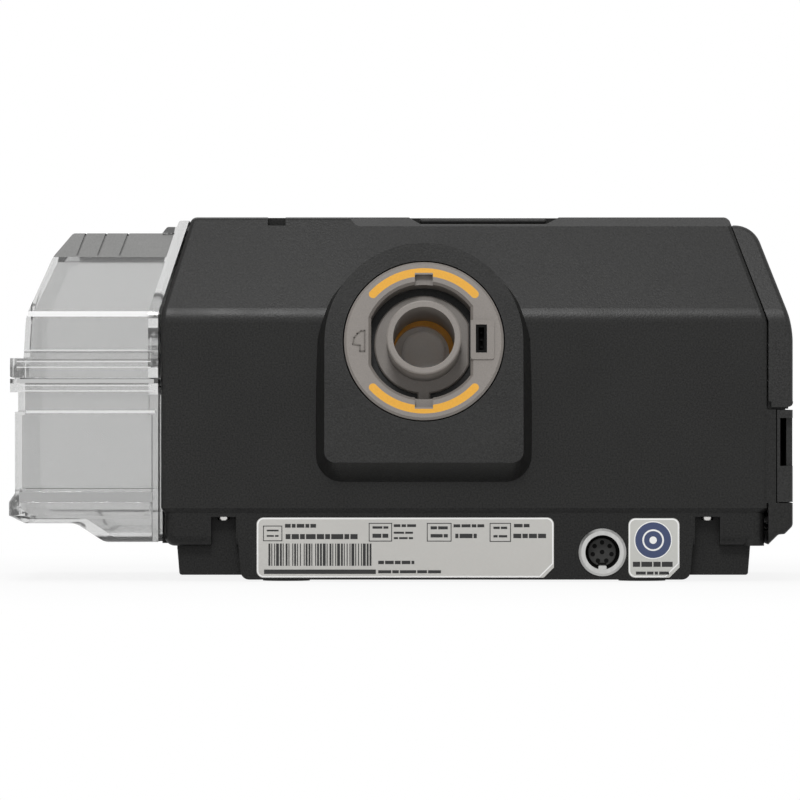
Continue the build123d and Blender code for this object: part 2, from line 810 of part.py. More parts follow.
def mark_sketch():
    """Two curved inlays, broken on their inner side by the notches' frames."""
    middle = (mark_inner + mark_outer) / 2
    width = mark_outer - mark_inner
    marks = Sketch()
    for turn in (90, 270):
        arc = CenterArc((0, 0), middle, turn - mark_half_angle, 2 * mark_half_angle)
        marks += SlotArc(arc, width)
    half, reach = mark_break
    for turn in (0, 180):
        marks -= Rot(0, 0, turn) * rect(-half, half, 0, reach)
    return marks


def outlet_marks():
    """The orange inlays in the bezel."""
    return prism_on(outlet_plane, mark_sketch(), collar_proud - mark_depth, collar_proud)


def tube_socket():
    """Electrical socket for a heated tube: a frame in the collar's slot, with pins in its well."""
    gap = 0.1
    centre = Pos(socket_u, socket_v)
    width, height = socket_width - 2 * gap, socket_height - 2 * gap
    top = collar_proud + pad_plate_rise - socket_recess
    core = prism_on(outlet_plane, centre * Rectangle(width, height), -collar_depth, top)
    core += prism_on(outlet_plane, rect(*socket_back), -socket_back_depth, -collar_depth)
    well = centre * Rectangle(width - 2 * socket_wall, height - 2 * socket_wall)
    core -= prism_on(outlet_plane, well, top - socket_well, far)
    radius, spacing = socket_pin
    for step in (-1, 0, 1):
        pin = centre * Pos(0, step * spacing) * Circle(radius)
        core += prism_on(outlet_plane, pin, top - socket_well - 1, top - socket_well / 2)
    return core


def outlet_connector():
    """Pull-out connector: flange with a flat and a key, 22 mm tube and inner spigot."""
    seat = -collar_depth + flange_rest
    disc = Circle(flange_radius) & rect(-far, flange_flat, -far, far)
    disc += rect(-flange_key_width / 2, flange_key_width / 2, -flange_key_reach, 0)
    body = prism_on(outlet_plane, disc, seat, seat + flange_thickness)
    rim = body.faces().sort_by(Axis(outlet_plane.origin, outlet_plane.z_dir))[-1]
    body = chamfer(rim.edges(), connector_chamfer)
    tube = prism_on(outlet_plane, Circle(connector_radius), seat, connector_reach)
    tip = tube.faces().sort_by(Axis(outlet_plane.origin, outlet_plane.z_dir))[-1]
    body += chamfer(tip.edges(), connector_chamfer)
    body += prism_on(outlet_plane, Circle(spigot_radius), -spigot_depth, seat + flange_thickness)
    return body - prism_on(outlet_plane, Circle(connector_bore), -far, far)


def outlet_seal():
    """Soft ring that the connector's spigot presses on."""
    plan = Circle(cup_radius - 0.1) - Pos(-seal_shift, -seal_shift) * Circle(seal_bore)
    top = -spigot_depth - 0.1
    return prism_on(outlet_plane, plan, top - seal_thickness, top)


# ---------------------------------------------------------------- power inlet and labels
def inlet_ring():
    """Metal ring and sleeve of the power inlet."""
    face_y = rear_y - seam_step
    flange = rod_y(face_y, face_y + inlet_ring_proud, inlet_x, inlet_z, inlet_ring_radius)
    flange = chamfer(flange.faces().sort_by(Axis.Y)[-1].edges(), inlet_ring_proud * 0.6)
    sleeve = rod_y(face_y - inlet_depth, face_y + inlet_ring_proud / 2, inlet_x, inlet_z, inlet_sleeve_radius)
    floor_y = face_y + inlet_ring_proud - inlet_recess
    sleeve -= rod_y(-far, floor_y, inlet_x, inlet_z, inlet_core_radius)
    return flange + sleeve - rod_y(floor_y - 1, far, inlet_x, inlet_z, inlet_bore)


def inlet_core():
    """Insulating core deep in the inlet, with a key slot at its foot."""
    face_y = rear_y - seam_step + inlet_ring_proud - inlet_recess
    core = rod_y(rear_y - seam_step - inlet_depth, face_y, inlet_x, inlet_z, inlet_core_radius - 0.05)
    core -= block((inlet_x - 0.8, inlet_x + 0.8), (face_y - 2, far), (inlet_z - inlet_bore - 1, inlet_z - 3.9))
    for spot in contact_spots():
        core -= rod_y(face_y - contact_sink - contact_length, far, *spot, contact_radius)
    return core


def contact_spots():
    """Centres of the contacts: a ring that leaves room for the key, and one in the middle."""
    spots = [(inlet_x, inlet_z)]
    for index in range(contact_count):
        turn = radians(-90 + 360 * (index + 1) / (contact_count + 1))
        spots.append((inlet_x + contact_ring * cos(turn), inlet_z + contact_ring * sin(turn)))
    return spots


def inlet_contacts():
    """Metal contacts in the inlet's core."""
    face_y = rear_y - seam_step + inlet_ring_proud - inlet_recess
    back_y = face_y - contact_sink - contact_length
    pins = [rod_y(back_y, face_y - contact_sink, *spot, contact_radius - 0.01) for spot in contact_spots()]
    return Compound([pin.solid() for pin in pins])


def label(x, z, clip_x):
    """A thin plate on the rear panel with one lower corner cut off."""
    plate = rect(*x, *z, label_corner)
    side = 1 if clip_x == x[1] else -1
    corner = Polygon((clip_x + side, z[0] - 1), (clip_x - side * label_clip, z[0] - 1),
                     (clip_x + side, z[0] + label_clip), align=None)
    face_y = rear_y - seam_step
    return prism_y(plate - corner, face_y, face_y + label_thickness)


# ---------------------------------------------------------------- side away from the tub
def cover_outline(thin):
    """Outline of the side pieces in (X, Z), thinner on the outside by an amount."""
    near = cover_side_x - fit_gap + (2 * wall if thin else 0)
    foot = [(cover_outer_x + x + thin, z + thin) for x, z in cover_foot]
    top_x = near + (cover_crest[1] - cover_side_bend_z) * cover_tan
    points = [
        (near, belly_z + 0.4 + thin),
        (near, cover_side_bend_z),
        (top_x, cover_crest[1] - thin - 0.4),
        (top_x - 0.4, cover_crest[1] - thin),
        (cover_crest[0] + thin / 2, cover_crest[1] - thin),
        (cover_outer_x + thin, cover_lean_foot_z - thin / 4),
        foot[0], foot[1], foot[2],
    ]
    return outline(points, [0, 0, 0, 0, cover_crest_radius - thin, cover_bend_radius - thin, 2.0, 0.6, 1.2])


def side_form(thin):
    """The closed form of all side pieces, made thinner outside by an amount."""
    profile = side_profile(cover_inset + thin, case_top_z, belly_z)
    return prism_x(profile, cover_outer_x - 1, 0) & prism_y(cover_outline(thin), front_y - 1, rear_y + 1)


def side_edges(form):
    """Edges of the side form's outer face where it meets the profile."""
    chosen = ShapeList()
    for edge in form.edges():
        run = edge.position_at(1) - edge.position_at(0)
        middle = edge.center()
        if run.length < 1e-6 or middle.Z < cover_foot[0][1] or middle.Z > cover_crest[1] - 1:
            continue
        run = run.normalized()
        near_x = cover_side_x + max(0.0, middle.Z - cover_side_bend_z) * cover_tan
        if abs(run.Y) > 0.999 or abs(run.X) > 0.999 or middle.X > near_x - 2.2:
            continue
        chosen.append(edge)
    return chosen


def filter_cover():
    """Hinged cover over the air inlet, with louvres and its hinge pins."""
    low_z = filter_cover_z
    zone = block((-far, 0), (filter_cover_y, far), (low_z, far))
    hollow = block((-far, 0), (filter_cover_y + cover_thickness, far), (low_z + cover_thickness, far))
    cover = (side_outer & zone) - (side_inner & hollow)
    for index in range(louvre_count):
        z = louvre_z + index * louvre_pitch
        cover -= block((-far, cover_outer_x + 2 * cover_thickness), louvre_y, (z, z + louvre_height))
    cover -= block((-far, cover_hinge_x), (-far, far), (0, cover_hinge_z))
    cover -= block((cover_outer_x + cover_floor_reach, far), (-far, far), (0, cover_hinge_z + cover_gap))
    ear_y = (ear_rear_y - cover_ear - cover_gap, ear_rear_y + cover_gap)
    cover += rod_y(filter_cover_y, rear_y - cover_inset, cover_hinge_x, cover_hinge_z, cover_barrel)
    cover -= block((-far, far), ear_y, (0, cover_hinge_z + cover_ear))
    pins = rod_y(filter_cover_y - hinge_pin_reach, filter_cover_y + 1, cover_hinge_x, cover_hinge_z, hinge_pin)
    pins += rod_y(ear_y[0] - 1, ear_y[1] + 0.5, cover_hinge_x, cover_hinge_z, hinge_pin)
    return cover + pins


ear_rear_y = rear_y - cover_inset - cover_thickness - 2 * cover_gap


def hinge_ear():
    """Ear of the rear casing that carries the filter cover's hinge behind its rear wall."""
    low_z = adapter_cover_z[1] + cover_gap
    reach = cover_barrel - 0.1
    ear = block((cover_hinge_x, cover_side_x), (ear_rear_y - cover_ear, ear_rear_y), (low_z, cover_hinge_z + reach))
    ear += rod_y(ear_rear_y - cover_ear, ear_rear_y, cover_hinge_x, cover_hinge_z, reach)
    return ear - rod_y(-far, far, cover_hinge_x, cover_hinge_z, hinge_pin + hinge_clearance)


def side_frame():
    """End frame that carries the covers and the card door."""
    gap = cover_gap
    front = (-far, filter_cover_y - gap)
    low_z = filter_cover_z - gap
    frame = side_outer & (block((-far, 0), front, (-far, far)) + block((-far, 0), (-far, far), (-far, low_z)))
    inner = block((-far, 0), (-far, front[1] - 2 * cover_thickness), (-far, far))
    inner += block((-far, 0), (-far, far), (-far, low_z - cover_thickness))
    frame -= side_inner & inner
    frame -= block((-far, 0), (adapter_cover_y - gap, far), (adapter_cover_z[0] - gap, far))
    door_y, door_z = card_door_y, card_door_z
    frame -= block((-far, 0), grown(door_y, gap), grown(door_z, gap))
    frame -= rod_y(front[1] - hinge_pin_reach, far, cover_hinge_x, cover_hinge_z, hinge_pin + hinge_clearance)
    return frame - rod_y(*grown(door_y, gap + 1.4), *card_hinge(), card_door_pin + hinge_clearance)


def adapter_cover():
    """Pull-off cover with a finger slot in its rear edge."""
    z0, z1 = adapter_cover_z
    zone = block((-far, strip_x - cover_gap), (adapter_cover_y, far), (z0, z1))
    hollow = block((-far, far), (adapter_cover_y + cover_thickness, far), (z0 + cover_thickness, z1 - cover_thickness))
    cover = (side_outer & zone) - (side_inner & hollow)
    slot_y = (rear_y - cover_inset - adapter_slot_depth, far)
    return cover - block((-far, adapter_slot_x), slot_y, adapter_slot_z)


def card_hinge():
    """Centre of the card door's hinge in (X, Z)."""
    return (cover_outer_x + card_door_hinge_inset, card_door_z[0] + card_door_hinge_inset)


def memory_card_door():
    """Small flap over the memory card."""
    plate = side_outer & block((-far, cover_outer_x + cover_thickness), card_door_y, card_door_z)
    hinge = card_hinge()
    lower = block((-far, far), (-far, far), (-far, hinge[1])) - rod_y(-far, far, *hinge, card_door_hinge_inset)
    plate -= lower
    plate += rod_y(card_door_y[0], card_door_y[1], *hinge, card_door_hinge_inset)
    return plate + rod_y(card_door_y[0] - 1.2, card_door_y[1] + 1.2, *hinge, card_door_pin)


def memory_card():
    """Memory card that stands in its slot behind the door."""
    outer_x = cover_outer_x + cover_thickness + 1.2
    return block((outer_x, outer_x + card_size[0]), card_y, card_heights)


def air_filter():
    """Pad of filter paper between the cover and the casing."""
    x1 = cover_side_x - 0.05
    return block((x1 - filter_size[0], x1), filter_y, filter_z)


# ---------------------------------------------------------------- front
def front_fascia():
    """Glossy panel of the front face, with seats for the screen, the dial and the home button."""
    body = fascia_cut(0, -fascia_thickness, 0)
    body += fascia_cut(fascia_flange, -fascia_thickness - fascia_flange_thickness, -fascia_thickness)
    body -= fascia_cut(-fascia_flange, -far, -fascia_thickness)
    body -= prism_on(front_plane, rect(*screen_x, *screen_v, screen_radius), -screen_thickness, far)
    window = rect(*grown(screen_x, -screen_border), *grown(screen_v, -screen_border), 1)
    body -= prism_on(front_plane, window, -far, far)
    body -= prism_on(front_plane, Pos(dial_x, dial_v) * Circle(dial_radius + 0.8), -dial_recess, far)
    body -= prism_on(front_plane, Pos(dial_x, dial_v) * Circle(sleeve_radius + sleeve_gap), -far, far)
    body -= prism_on(front_plane, Pos(dial_x, home_v) * Circle(home_radius), -far, far)
    for u, v in post_spots():
        body += prism_on(front_plane, Pos(u, v) * Circle(board_post), -board_depth, -fascia_thickness + 0.5)
    return body


def post_spots():
    """Centres of the posts that carry the main board, near its corners."""
    corners = [(u, v) for v in board_v for u in board_x]
    return [(u + du, v + dv) for (u, v), (du, dv) in zip(corners, board_posts)]


def screen_lens():
    """Clear window over the display."""
    lens = rect(*grown(screen_x, -fit_gap), *grown(screen_v, -fit_gap), screen_radius)
    return prism_on(front_plane, lens, -screen_thickness, 0)


def display_module():
    """Display behind the window."""
    plan = rect(*grown(screen_x, 1), *grown(screen_v, 1), 1)
    back = -fascia_thickness - display_depth
    module = prism_on(front_plane, plan, back, -fascia_thickness)
    face = rect(*grown(screen_x, -screen_border - 0.2), *grown(screen_v, -screen_border - 0.2), 1)
    return module + prism_on(front_plane, face, back, -screen_thickness - 0.1)


def dial_knob():
    """Round dial with finger flutes and its shaft."""
    base = dial_lift - dial_recess
    centre = Pos(dial_x, dial_v)
    knob = prism_on(front_plane, centre * Circle(dial_radius), base, base + dial_height)
    top = knob.faces().sort_by(Axis(front_plane.origin, front_plane.z_dir))[-1]
    knob = fillet(top.edges(), 1.6)
    for index in range(flute_count):
        turn = 2 * pi * index / flute_count
        u, v = dial_x + dial_radius * cos(turn), dial_v + dial_radius * sin(turn)
        knob -= prism_on(front_plane, Pos(u, v) * Circle(flute_radius * 0.6), -far, base + dial_height - 2.4)
    shaft = prism_on(front_plane, centre * Circle(dial_shaft), -fascia_thickness - encoder_size[1] + 2, base + 1)
    return knob + shaft


def encoder_sleeve():
    """Sleeve that slides in with the dial and carries its shaft."""
    centre = Pos(dial_x, dial_v)
    plan = centre * (Circle(sleeve_radius) - Circle(dial_shaft + shaft_clearance))
    return prism_on(front_plane, plan, -fascia_thickness - encoder_size[1] + 2, -dial_recess)


def encoder_body():
    """Fixed rotary encoder behind the fascia."""
    centre = Pos(dial_x, dial_v)
    side = encoder_size[0]
    body = prism_on(front_plane, centre * RectangleRounded(side, side, 1.5), -fascia_thickness - encoder_size[1],
                    -fascia_thickness)
    return body - prism_on(front_plane, centre * Circle(sleeve_radius + shaft_clearance),
                           -fascia_thickness - encoder_size[1] + 1, far)


def home_button():
    """Round home button with a retaining rim behind the fascia."""
    centre = Pos(dial_x, home_v)
    cap = prism_on(front_plane, centre * Circle(home_radius - home_gap), home_proud - home_height, home_proud)
    top = cap.faces().sort_by(Axis(front_plane.origin, front_plane.z_dir))[-1]
    cap = fillet(top.edges(), 0.6)
    rim_top = -fascia_thickness - 0.1
    return cap + prism_on(front_plane, centre * Circle(home_radius + 1), rim_top - 1.2, rim_top)


def main_board():
    """Circuit board behind the front face, with its larger chips."""
    board = prism_on(front_plane, rect(*board_x, *board_v, 2), -board_depth - board_thickness, -board_depth)
    for u, v, w, h, t in board_chips:
        board += prism_on(front_plane, Pos(u, v) * Rectangle(w, h), -board_depth - board_thickness - t, -board_depth)
    return board


# ---------------------------------------------------------------- humidifier bay
def bay_liner():
    """Moulded pocket that takes the tub's inner chamber."""
    y = bay_half_y + bay_wall
    outer = block((bay_back_x - bay_wall, tub_side_x), (-y, y), (bay_floor_z - bay_wall, bay_top_z + bay_wall))
    inner = block((bay_back_x, far), (-bay_half_y, bay_half_y), (bay_floor_z, bay_top_z))
    inner = fillet(inner.edges().filter_by(Axis.Z).sort_by(Axis.X)[:2], bay_corner)
    liner = outer - inner
    liner -= block((foot_x[1], far), (-far, far), (-far, bay_floor_z))
    return liner - prism_z(heater_plan(0.2), -far, bay_floor_z + 1)


def heater_plan(grow):
    """Plan of the heater plate, grown by a margin."""
    return rect(*grown(heater_x, grow), -heater_half_y - grow, heater_half_y + grow, heater_corner + grow)


def heater_plate():
    """Metal plate in the bay's floor, with its flange below the liner."""
    top_z = bay_floor_z + heater_rise
    flange_z = bay_floor_z - bay_wall
    return prism_z(heater_plan(0), flange_z, top_z) + prism_z(heater_plan(heater_flange), flange_z - 1, flange_z)


def bay_port_seals():
    """Soft lipped rings in the two air ports beside the tub."""
    seals = []
    for y in (supply_port_y, return_port_y):
        seal = rod_x(tub_side_x - wall, tub_side_x, y, port_z, port_hole)
        seal += rod_x(tub_side_x, tub_side_x + port_seal_proud, y, port_z, port_hole + port_seal_lip)
        seals.append((seal - rod_x(-far, far, y, port_z, port_radius)).solid())
    return Compound(seals)


# ---------------------------------------------------------------- tub
tub_inner_x = tub_side_x + tub_gap
flange_end_x = tub_outer_x + tub_flange_out
lid_hinge_x = flange_end_x - knuckle_radius - 0.1
lid_hinge_z = tub_seam_z + lid_hinge_rise
rim_groove_inset = neck_inset + 0.5
lid_low_z = tub_seam_z + lid_seam_gap
dock_top_z = case_top_z - dock_top_drop
dock_top_x = tub_side_x - (dock_top_z - tub_side_bend_z) * tub_tan + dock_top_gap
dock_lean = (tub_inner_x - dock_top_x) / (dock_top_z - tub_side_bend_z)


def tub_profile(inset, top_z):
    """The tub's profile in (Y, Z)."""
    rear = rear_y - tub_inset - inset
    front_foot = front_line(seam_z, tub_inset + inset)
    points = [
        (rear, pan_bottom_z + inset),
        (rear, top_z),
        (front_line(top_z, tub_inset + inset), top_z),
        (front_foot, seam_z),
        (front_foot, pan_bottom_z + inset),
    ]
    return outline(points, [tub_foot_radius, 0, 0, 0, tub_foot_radius])


def tub_end_outline(inset, top_z, inner_x):
    """The tub's outline in (X, Z), with the curved step of its bottom."""
    low, high = pan_bottom_z + inset, tub_bottom_z + inset
    outer = tub_outer_x - inset
    points = [
        (inner_x, low),
        (pan_end_x - inset, low),
        (step_end_x - inset, high),
        (tub_bottom_corner_x - inset, high),
        (outer, high + 2.2),
        (outer, top_z),
        (inner_x, top_z),
    ]
    return outline(points, [0, 5.0, 6.0, 1.5, 1.5, 0, 0])


def tub_body(inset, top_z, inner_x):
    """The outer chamber's form."""
    body = prism_x(tub_profile(inset, top_z + 1), inner_x - 1, tub_outer_x + 1)
    return body & prism_y(tub_end_outline(inset, top_z, inner_x), front_y - 1, rear_y + 1)


def lip_section(z, inset):
    """Plan of the grip lip at a height."""
    plan = rect(tub_inner_x, lip_x - inset, front_y + 0.4 + inset, rear_y - tub_inset + lip_rear_out - inset / 2, 5)
    return Plane((0, 0, z)) * plan


def tub_lip():
    """Grip lip around the tub's foot."""
    low, high = lip_z
    rise = loft([lip_section(tub_bottom_z, 4.4), lip_section(low, 0)], ruled=True)
    band = loft([lip_section(low, 0), lip_section(high, 0)], ruled=True)
    fall = loft([lip_section(high, 0), lip_section(high + lip_taper, 2.0)], ruled=True)
    return rise + band + fall


def tub_flange():
    """Flange around the tub's rim."""
    low = tub_seam_z - tub_flange_height
    plate = prism_x(tub_profile(-tub_flange_out, tub_seam_z + 1), tub_inner_x, flange_end_x)
    return plate & block((-far, far), (-far, far), (low, tub_seam_z))


def knuckle_outline():
    """Outline in (X, Z) of one hinge knuckle of the tub, rounded about the pin."""
    plate = rect(lid_hinge_x - knuckle_radius, lid_hinge_x + knuckle_radius, tub_seam_z - 1, lid_hinge_z)
    return plate + Pos(lid_hinge_x, lid_hinge_z) * Circle(knuckle_radius)


def chamber_form(inset, end_x):
    """Closed form of the inner chamber, drawn inwards by an inset."""
    form = block((chamber_back_x + inset, end_x), (-chamber_half_y + inset, chamber_half_y - inset),
                 (pan_bottom_z + inset, chamber_top_z - inset))
    corners = form.edges().filter_by(Axis.Z).sort_by(Axis.X)[:2]
    return fillet(corners, chamber_corner - inset)


def tub_chamber():
    """Clear inner chamber that reaches into the bay, open towards the outer chamber."""
    chamber = chamber_form(0, tub_inner_x) - chamber_form(tub_wall, far)
    return chamber - prism_z(tub_plate_plan(), -far, pan_bottom_z + plate_thickness)


def tub_shell():
    """Clear lower tub: outer chamber, grip lip, flange and hinge knuckles."""
    body = tub_body(0, tub_seam_z, tub_inner_x)
    neck = block((-far, far), (-far, far), (neck_z, tub_seam_z))
    body -= neck
    body += tub_body(neck_inset, tub_seam_z, tub_inner_x) & neck
    shell = body + tub_lip() + tub_flange()
    for y in hinge_y:
        shell += prism_y(knuckle_outline(), y - knuckle_width / 2, y + knuckle_width / 2)
    shell -= tub_cavity()
    groove = tub_body(rim_groove_inset, tub_seam_z + 1, tub_inner_x + rim_groove_inset)
    groove -= tub_body(rim_groove_inset + rim_seal_width, tub_seam_z + 2, tub_inner_x + rim_groove_inset + rim_seal_width)
    shell -= groove & block((-far, far), (-far, far), (tub_seam_z - rim_seal_depth, far))
    return shell - rod_y(-far, far, lid_hinge_x, lid_hinge_z, lid_pin)


def tub_cavity():
    """Water space of the tub."""
    high = neck_z - 1.0
    lower = tub_body(tub_wall, high, tub_inner_x + tub_wall)
    upper = tub_body(tub_wall + neck_inset, tub_seam_z + 2, tub_inner_x + tub_wall + neck_inset)
    upper = upper & block((-far, far), (-far, far), (high, far))
    return lower + upper + chamber_form(tub_wall, tub_inner_x + 2 * tub_wall)


def tub_plate_plan():
    """Plan of the heat plate in the tub's floor."""
    return rect(heater_x[0] - 1, heater_x[1] + 1, -heater_half_y - 1, heater_half_y + 1, heater_corner)


def tub_heat_plate():
    """Metal plate let into the floor of the inner chamber."""
    return prism_z(tub_plate_plan(), pan_bottom_z, pan_bottom_z + plate_thickness)


def tub_seal():
    """Soft ring in the groove of the tub's rim."""
    outer = tub_body(rim_groove_inset, tub_seam_z + 0.2, tub_inner_x + rim_groove_inset)
    inner = tub_body(rim_groove_inset + rim_seal_width, tub_seam_z + 1, tub_inner_x + rim_groove_inset + rim_seal_width)
    return (outer - inner) & block((-far, far), (-far, far), (tub_seam_z - rim_seal_depth, far))


# ---------------------------------------------------------------- tub lid
def dock_line(z):
    """X of the lid's face that docks against the casing, at a height."""
    return tub_inner_x - max(0.0, z - tub_side_bend_z) * dock_lean


def lid_outline(thin, low_z):
    """The lid's outline in (X, Z), thinner all round by an amount."""
    top = lid_top[1] - thin
    points = [
        (tub_inner_x + thin, low_z),
        (tub_inner_x + thin, tub_side_bend_z),
        (dock_line(top) + thin, top),
        (lid_top[0] - thin * 0.6, top),
        (lid_shoulder[0] - thin, lid_shoulder[1] - thin * 0.5),
        (lid_bend[0] - thin, lid_bend[1]),
        (lid_foot_x - thin, low_z),
    ]
    return outline(points, [0, 6, 0, 1.5, 8, 12, 0])


def lid_form(thin, low_z):
    """The closed form of the lid."""
    profile = side_profile(tub_inset + thin, lid_top[1] + 2, low_z - 1)
    return prism_x(profile, dock_top_x, tub_outer_x) & prism_y(lid_outline(thin, low_z), front_y, rear_y)


def dock_flange():
    """Flange of the lid that stands beside the casing's leaning wall."""
    thick = dock_flange_thickness
    web_z = lid_top[1] + dock_web[1]
    web_x = dock_line(web_z) + thick
    points = [
        (tub_inner_x, lid_low_z),
        (tub_inner_x, tub_side_bend_z),
        (dock_top_x, dock_top_z),
        (dock_top_x + thick, dock_top_z),
        (web_x, web_z),
        (web_x + dock_web[0], web_z),
        (web_x + dock_web[0] * 1.5, lid_top[1]),
        (dock_line(lid_top[1]) + thick, lid_top[1]),
        (tub_inner_x + thick, tub_side_bend_z),
        (tub_inner_x + thick, lid_low_z),
    ]
    radii = [0, 6, 0, 1, 0.5, 1, 0, 0, 6, 0]
    profile = side_profile(dock_flange_inset, dock_top_z + 2, lid_low_z - 1)
    return prism_x(profile, dock_top_x - 5, tub_outer_x) & prism_y(outline(points, radii), front_y, rear_y)


def beyond_dock(thick, low_z, high_z):
    """Space on the outer side of the docking flange, between two heights."""
    points = [(dock_line(low_z) + thick, low_z)]
    if low_z < tub_side_bend_z < high_z:
        points.append((dock_line(tub_side_bend_z) + thick, tub_side_bend_z))
    points += [(dock_line(high_z) + thick, high_z), (far, high_z), (far, low_z)]
    return prism_y(Polygon(*points, align=None), -far, far)


def cap_zone():
    """Space of the lid's grey cap: the lid's top, beyond the docking flange."""
    return beyond_dock(dock_flange_thickness + 0.2, cap_bottom_z, lid_top[1] + 0.05)


def lid_hollow():
    """Air space of the lid."""
    step_z = cap_bottom_z - lid_wall
    low = lid_form(lid_wall, lid_low_z - 1) & beyond_dock(dock_flange_thickness, lid_low_z - 2, step_z)
    high = lid_form(lid_wall + cap_thickness, lid_low_z - 1)
    return low + (high & beyond_dock(dock_flange_thickness, step_z - 1, dock_top_z))


def lid_rim():
    """Flange of the lid over the tub's flange, rounded under its outer edge so that it can turn."""
    profile = side_profile(tub_inset - tub_flange_out, dock_top_z, seam_z)
    rim = prism_x(profile, tub_inner_x, flange_end_x)
    rim = rim & block((-far, far), (-far, far), (lid_low_z, lid_low_z + lid_flange_height))
    outer = block((lid_hinge_x, far), (-far, far), (0, lid_hinge_z))
    rim -= outer - rod_y(-far, far, lid_hinge_x, lid_hinge_z, lid_hinge_rise - knuckle_gap / 2)
    for y in hinge_y:
        half = knuckle_width / 2 + knuckle_gap
        slot_x = (lid_hinge_x - knuckle_radius - knuckle_gap, far)
        rim -= block(slot_x, (y - half, y + half), (0, tub_side_bend_z))
        reach = knuckle_width / 2 + pin_reach + knuckle_gap
        rim -= rod_y(y - reach, y + reach, lid_hinge_x, lid_hinge_z, lid_pin + hinge_clearance)
    return rim


def tub_lid():
    """Clear lid with its rim flange, docking flange and air ports."""
    lid = lid_form(0, lid_low_z)
    lid -= cap_zone()
    lid += lid_form(cap_thickness, lid_low_z) & cap_zone()
    lid += lid_rim()
    lid += dock_flange()
    lid -= lid_hollow()
    for y in (supply_port_y, return_port_y):
        lid -= rod_x(tub_inner_x - 1, tub_inner_x + 4 * lid_wall, y, port_z, lid_port_radius)
    return lid


def tub_lid_cap():
    """Grey cover on the lid's top, with slanted finger grooves."""
    cap = lid_form(0, lid_low_z) & cap_zone()
    cap -= lid_form(cap_thickness, lid_low_z)
    skin = lid_form(0, lid_low_z) - lid_form(groove_depth, lid_low_z)
    lean = tan(radians(groove_lean))
    for x in groove_top_x:
        low_z = cap_bottom_z + 0.5
        foot = x + (lid_top[1] - low_z) * lean
        groove = Polygon((x, lid_top[1] + 1), (foot, low_z), (foot + groove_width, low_z),
                         (x + groove_width, lid_top[1] + 1), align=None)
        cap -= prism_y(groove, -far, far) & skin
    return cap


def lid_hinge_pins():
    """Steel pins through the tub's knuckles, which the lid's flange turns on."""
    reach = knuckle_width / 2 + pin_reach
    return Compound([rod_y(y - reach, y + reach, lid_hinge_x, lid_hinge_z, lid_pin).solid() for y in hinge_y])


def lid_grip():
    """Ribbed finger grip on the lid's outer end."""
    outer_x = lid_bend[0] + grip_thickness
    grip = block((lid_bend[0] - 1, outer_x), grip_y, grip_z)
    for index in range(grip_rib_count):
        z = grip_z[0] + (index + 0.5) * (grip_z[1] - grip_z[0]) / grip_rib_count
        grip += rod_y(*grip_y, outer_x, z, grip_rib)
    return grip - lid_form(0, lid_low_z)


# ---------------------------------------------------------------- blower and ducts
blower_top_z = blower_base_z + blower_height
nozzle_z = blower_base_z + blower_height / 2
nozzle_end_x = outlet_x - 10


def volute(grow):
    """Plan of the blower's spiral, which widens round to its nozzle."""
    points = []
    for step in range(volute_steps + 1):
        turn = radians(-90 + 360 * step / volute_steps)
        radius = volute_start + (volute_end - volute_start) * step / volute_steps + grow
        points.append((blower_x + radius * cos(turn), blower_y + radius * sin(turn)))
    return make_face([Spline(*points), Line(points[-1], points[0])])


def blower_housing():
    """Lower half of the blower: spiral wall, floor and the outlet nozzle."""
    floor_z = blower_base_z + blower_wall
    wall_top = blower_top_z - blower_wall
    body = prism_z(volute(blower_wall), blower_base_z, wall_top)
    body += rod_x(blower_x, nozzle_end_x, supply_port_y, nozzle_z, nozzle_radius + duct_wall)
    body -= prism_z(volute(0), floor_z, wall_top + 1)
    body -= rod_x(blower_x, far, supply_port_y, nozzle_z, nozzle_radius)
    return body - rod_z(-far, far, blower_x, blower_y, shaft_radius + 1.5)


def blower_cover():
    """Upper half of the blower with its air inlet."""
    centre = Pos(blower_x, blower_y)
    plan = volute(blower_wall) - centre * Circle(blower_inlet)
    cover = prism_z(plan, blower_top_z - blower_wall, blower_top_z)
    throat = Circle(blower_inlet + blower_wall) - Circle(blower_inlet)
    return cover + prism_z(centre * throat, blower_top_z, blower_top_z + 5)


def blower_impeller():
    """Impeller with curved blades on its backplate, and its shaft."""
    base_z = blower_base_z + blower_wall + impeller_lift
    top_z = base_z + impeller_height
    centre = Pos(blower_x, blower_y)
    wheel = prism_z(centre * Circle(impeller_radius), base_z, base_z + impeller_plate)
    wheel += prism_z(centre * Circle(impeller_hub), base_z, top_z - 2)
    for index in range(blade_count):
        turn = 360 * index / blade_count
        arc = JernArc((impeller_hub - 1, 0), (cos(radians(20)), sin(radians(20))), impeller_radius * 0.8, 50)
        blade = Rot(0, 0, turn) * SlotArc(arc, blade_thickness)
        wheel += prism_z(centre * blade, base_z + impeller_plate / 2, top_z)
    return wheel + rod_z(blower_base_z - motor_height / 2, base_z + 1, blower_x, blower_y, shaft_radius)


def blower_motor():
    """Motor below the blower, with the bearing of the impeller's shaft."""
    body = rod_z(blower_base_z - motor_height, blower_base_z, blower_x, blower_y, motor_radius)
    body = fillet(body.edges().sort_by(Axis.Z)[0], 2)
    return body - rod_z(blower_base_z - motor_height / 2 - 0.1, far, blower_x, blower_y, shaft_radius + shaft_clearance)


def inlet_muffler():
    """Foam block that quietens the air inlet."""
    return block(muffler_x, muffler_y, muffler_z)


def tube_along(points, radius, bend):
    """A round rod along straight runs joined by arcs."""
    path = FilletPolyline(*points, radius=bend)
    return sweep(Plane(origin=path @ 0, z_dir=path % 0) * Circle(radius), path)


